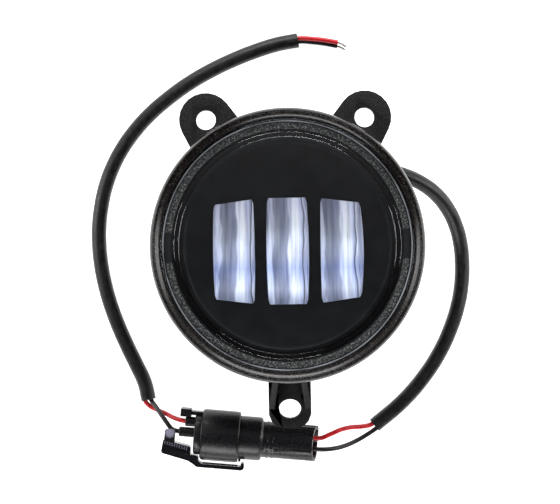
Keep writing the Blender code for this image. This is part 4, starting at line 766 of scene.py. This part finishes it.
rises = [DISH_RADIUS * step / 36 for step in range(37)]
mask_profile = [
    *[(radius, dish(radius)) for radius in rises], (38.0, 52.12), (38.3, 52.2), (39.3, 52.2), (39.6, 51.95),
    (39.8, 50.5), (40.1, 50.3), (41.6, 50.3), (41.8, 50.1), (41.8, 48.3), (DISH_RADIUS, 48.3),
    *[(radius, dish(radius) - MASK_WALL) for radius in rises[-4::-1]],
]
cuts = [("DIFFERENCE", prism(window_outline(index), 40, 58)) for index in (-1, 0, 1)]
mask = built("mask_moulding", lathe(mask_profile, 256), cuts)
mask_pc = grained("moulded_black_polycarbonate", "0b0a0a", "111010", 6.0, (0.36, 0.44), 0.02)
mask_pc.node_tree.nodes["Principled BSDF"].inputs["Specular IOR Level"].default_value = 0.3
settle(mask, mask_pc, "mask_plastic", "lamp", "reflector_mask")

# --- Reflector -----------------------------------------------------------------------------
# Vacuum-metallised moulding: three parabolic troughs, each fluted down its length so that
# the LED above it spreads sideways. Its colour carries painted reflections: bright bands with lavender
# between.
tree, given, result = growing(
    "fluted_trough", Width="Float", Length="Float", Middle="Vector", Focal="Float", Focus="Float",
    Wall_start="Float", Wall_slope="Float", Flute_pitch="Float", Flute_depth="Float", Ceiling="Float",
    Material="Material")
sheet = node(tree, "GeometryNodeMeshGrid", {
    "Size X": given.outputs["Width"], "Size Y": given.outputs["Length"], "Vertices X": 97, "Vertices Y": 81})
where = node(tree, "GeometryNodeInputPosition")
split = node(tree, "ShaderNodeSeparateXYZ", {"Vector": where})
middle = node(tree, "ShaderNodeSeparateXYZ", {"Vector": given.outputs["Middle"]})
y_world = node(tree, "ShaderNodeMath", {0: split.outputs["Y"], 1: middle.outputs["Y"]}, operation="ADD")
from_focus = node(tree, "ShaderNodeMath", {0: y_world, 1: given.outputs["Focus"]}, operation="SUBTRACT")
square = node(tree, "ShaderNodeMath", {0: from_focus, 1: from_focus}, operation="MULTIPLY")
four = node(tree, "ShaderNodeMath", {0: given.outputs["Focal"], 1: 4.0}, operation="MULTIPLY")
bowl = node(tree, "ShaderNodeMath", {0: square, 1: four}, operation="DIVIDE")
off = node(tree, "ShaderNodeMath", {0: split.outputs["X"]}, operation="ABSOLUTE")
past = node(tree, "ShaderNodeMath", {0: off, 1: given.outputs["Wall_start"]}, operation="SUBTRACT")
beyond = node(tree, "ShaderNodeMath", {0: past, 1: 0.0}, operation="MAXIMUM")
wall = node(tree, "ShaderNodeMath", {0: beyond, 1: given.outputs["Wall_slope"]}, operation="MULTIPLY")
turns = node(tree, "ShaderNodeMath", {0: split.outputs["X"], 1: given.outputs["Flute_pitch"]},
             operation="DIVIDE")
angle = node(tree, "ShaderNodeMath", {0: turns, 1: 2 * pi}, operation="MULTIPLY")
wave = node(tree, "ShaderNodeMath", {0: angle}, operation="COSINE")
flute = node(tree, "ShaderNodeMath", {0: wave, 1: given.outputs["Flute_depth"]}, operation="MULTIPLY")
rise = node(tree, "ShaderNodeMath", {0: bowl, 1: wall}, operation="ADD")
capped = node(tree, "ShaderNodeMath", {0: rise, 1: given.outputs["Ceiling"]}, operation="MINIMUM")
either = node(tree, "ShaderNodeMath", {0: bowl, 1: capped}, operation="MAXIMUM")
high = node(tree, "ShaderNodeMath", {0: either, 1: flute}, operation="ADD")
lift = node(tree, "ShaderNodeCombineXYZ", {"Z": high})
place_it = node(tree, "ShaderNodeVectorMath", {0: lift, 1: given.outputs["Middle"]}, operation="ADD")
shaped = node(tree, "GeometryNodeSetPosition", {"Geometry": sheet, "Offset": place_it})
end_tree(tree, shaped, given, result)
fluted_trough = tree

chrome, tree, shader = material_of("vacuum_metallised_plastic")
place = node(tree, "ShaderNodeTexCoord").outputs["Object"]
at = node(tree, "ShaderNodeSeparateXYZ", {"Vector": place})
# Painted reflections: bright and lavender bands run down the troughs, a little wavy, in place
# of the light the flutes reflect; over them, fine streaks 1.2 mm across and 25 mm long
sway = node(tree, "ShaderNodeTexNoise", {"Vector": place, "Scale": 1 / (16 * MM), "Detail": 1})
swayed = node(tree, "ShaderNodeMapRange", {
    "Value": sway, "From Min": 0.3, "From Max": 0.7, "To Min": -0.9 * MM, "To Max": 0.9 * MM})
across = node(tree, "ShaderNodeMath", {0: at.outputs["X"], 1: swayed}, operation="ADD")
in_pitch = node(tree, "ShaderNodeMath", {
    0: across, 1: -WINDOW_PITCH / 2 * MM, 2: WINDOW_PITCH / 2 * MM}, operation="WRAP")
band_share = node(tree, "ShaderNodeMapRange", {
    "Value": in_pitch, "From Min": -WINDOW_HALF * MM, "From Max": WINDOW_HALF * MM})
painted_reflection_bands = node(tree, "ShaderNodeValToRGB", {"Fac": band_share}, [
    (0.0, "cfd1da"), (0.04, "fafbff"), (0.13, "f0f2f8"), (0.17, "a8aab6"), (0.32, "9496a2"), (0.49, "a8aab8"),
    (0.54, "fbfcff"), (0.70, "ffffff"), (0.80, "e6eafa"), (0.86, "c0c3d0"), (0.885, "42434a"),
    (0.91, "f4f6fa"), (0.98, "c2c4ce")])
stretch = node(tree, "ShaderNodeMapping", {
    "Vector": place, "Scale": (1 / (1.2 * MM), 1 / (25 * MM), 1 / (25 * MM))})
streak = node(tree, "ShaderNodeTexNoise", {"Vector": stretch, "Scale": 1.0, "Detail": 2})
fine = node(tree, "ShaderNodeValToRGB", {"Fac": streak}, [(0.32, "b6b7c4"), (0.6, "ffffff")])
# Painted shade and reflection along the troughs: greyer at both ends and bluer a little below the middle
down = node(tree, "ShaderNodeMapRange", {"Value": at.outputs["Y"], "From Min": 18 * MM, "From Max": -22 * MM})
painted_tint_along_troughs = node(tree, "ShaderNodeValToRGB", {"Fac": down}, [
    (0.05, "dedce6"), (0.3, "fdfdff"), (0.55, "eff1fb"), (0.66, "cdd6f2"), (0.85, "f4f6ff"),
    (0.97, "b8bccb")])
first = node(tree, "ShaderNodeMix", {"Factor": 0.75}, data_type="RGBA", blend_type="MULTIPLY")
second = node(tree, "ShaderNodeMix", {"Factor": 1.0}, data_type="RGBA", blend_type="MULTIPLY")
for source, mixer, socket in ((painted_reflection_bands, first, 6), (fine, first, 7), (painted_tint_along_troughs, second, 7)):
    tree.links.new(source.outputs[0], mixer.inputs[socket])
tree.links.new(first.outputs[2], second.inputs[6])
tree.links.new(second.outputs[2], shader.inputs["Base Color"])
shader.inputs["Metallic"].default_value = 0.35
shader.inputs["Roughness"].default_value = 0.16
troughs = []
for index in (-1, 0, 1):
    trough = grown(
        "trough", fluted_trough, bpy.data.meshes.new("trough"), Width=19.0 * MM, Length=40.2 * MM,
        Middle=(index * WINDOW_PITCH * MM, -1.7 * MM, 22.9 * MM), Focal=17 * MM, Focus=18.4 * MM,
        Wall_start=7.4 * MM, Wall_slope=9.0, Flute_pitch=5.2 * MM, Flute_depth=0.14 * MM,
        Ceiling=21.6 * MM, Material=chrome)
    troughs.append(trough.data)
    bpy.data.objects.remove(trough)
shape = bmesh.new()
for mesh in troughs:
    shape.from_mesh(mesh)
joined = bpy.data.meshes.new("reflector")
shape.to_mesh(joined)
shape.free()
backed = link(joined, "reflector_sheet")
thicken = backed.modifiers.new("thickness", "SOLIDIFY")
thicken.thickness, thicken.offset = 0.25 * MM, -1
reflector = link(shaded(evaluated(backed), 60), "reflector_moulding")
settle(reflector, chrome, "metallised", "lamp", "reflector")

# Two narrow strips aim down into the troughs and light nothing else
into_troughs = bpy.data.collections.new("into_troughs")
into_troughs.objects.link(reflector)
for name, place, size, power in (
    ("strip_upper", (0.02, 0.34, 0.58), (0.55, 0.16), 7.5),
    ("strip_lower", (-0.04, -0.30, 0.60), (0.5, 0.12), 12.0),
):
    soft_box(name, place, size, power).light_linking.receiver_collection = into_troughs

# --- LED board and driver ------------------------------------------------------------------
# White-coated metal-core board with three LEDs under the shelf, and a green glass-epoxy
# driver board with a ferrite choke, a sleeved capacitor and an epoxy chip.
board_white = grained("white_solder_resist", "cfd2d0", "e9ebea", 1.2, (0.4, 0.55), 0.08)
board_green = grained("green_solder_resist", "18492d", "256b42", 1.2, (0.3, 0.45), 0.1)
phosphor = grained("yellow_led_phosphor", "dcc23a", "f2e06a", 0.6, (0.35, 0.5), 0.1)
pad_sheet = grained("grey_thermal_pad", "8e949a", "a9afb4", 0.8, (0.8, 0.95), 0.2)
ferrite = grained("sintered_ferrite", "303033", "47474b", 0.5, (0.5, 0.7), 0.3)
sleeve = grained("capacitor_sleeve", "111318", "20232b", 2.0, (0.25, 0.4), 0.05)
epoxy = grained("moulded_chip_epoxy", "0d0d0f", "1d1d20", 0.3, (0.5, 0.65), 0.2)
coat(board_white, "led_board")
coat(board_green, "driver_board")
coat(phosphor, "led_left", "led_middle", "led_right")
coat(pad_sheet, "thermal_pad")
coat(ferrite, "driver_choke")
coat(sleeve, "driver_capacitor")
coat(epoxy, "driver_chip")
coat(red_pvc, "led_lead_red", "feed_wire_red")
coat(black_pvc, "led_lead_black", "feed_wire_black")
coat(zinc_plate, "led_board_screw_left", "led_board_screw_right", "driver_board_screw_left",
     "driver_board_screw_right")

# --- Gland and vent ------------------------------------------------------------------------
# Glass-filled nylon: a hexagon gland body pushed into the housing's notch, a dome nut with grip
# ribs that squeezes a rubber seal onto the cable, and a push-in breather vent.
nylon = grained("glass_filled_nylon", "131416", "25272b", 0.7, (0.4, 0.55), 0.25)
coat(nylon, "cable_gland", "breather_vent")
coat(epdm, "gland_seal")
GLAND = Matrix.Translation((0, GLAND_Y * MM, GLAND_Z * MM)) @ ALONG_X
nut_profile = [
    (4.5, 31.4), (5.3, 31.4), (5.5, 31.7), (5.5, 34.4), (5.2, 35.6), (4.4, 36.3), (3.3, 36.4), (3.3, 34.8),
    (4.5, 34.8),
]
nut = built("gland_dome_nut", lathe(nut_profile, 72, True))
rib = prism([(-0.35, 5.2), (0.35, 5.2), (0.2, 5.78), (-0.2, 5.78)], 31.7, 34.6)
tree, given, result = growing("grip_ribs", Count="Int", Material="Material")
turns = node(tree, "GeometryNodeMeshLine", {"Count": given.outputs["Count"], "Offset": (0, 0, 0)})
number = node(tree, "GeometryNodeInputIndex")
share = node(tree, "ShaderNodeMath", {0: number, 1: given.outputs["Count"]}, operation="DIVIDE")
angle = node(tree, "ShaderNodeMath", {0: share, 1: 2 * pi}, operation="MULTIPLY")
spin = node(tree, "ShaderNodeCombineXYZ", {"Z": angle})
spots = node(tree, "GeometryNodeInstanceOnPoints", {
    "Points": turns, "Instance": given.outputs["Geometry"], "Rotation": spin})
end_tree(tree, spots, given, result)
RIB_COUNT = 18
ribs = grown("gland_nut_ribs", tree, rib, Count=RIB_COUNT, Material=nylon)
for made in (nut, ribs):
    made.data.transform(GLAND)
settle(nut, nylon, "nylon", "lamp", "gland_nut")
settle(ribs, nylon, "nylon", "lamp")
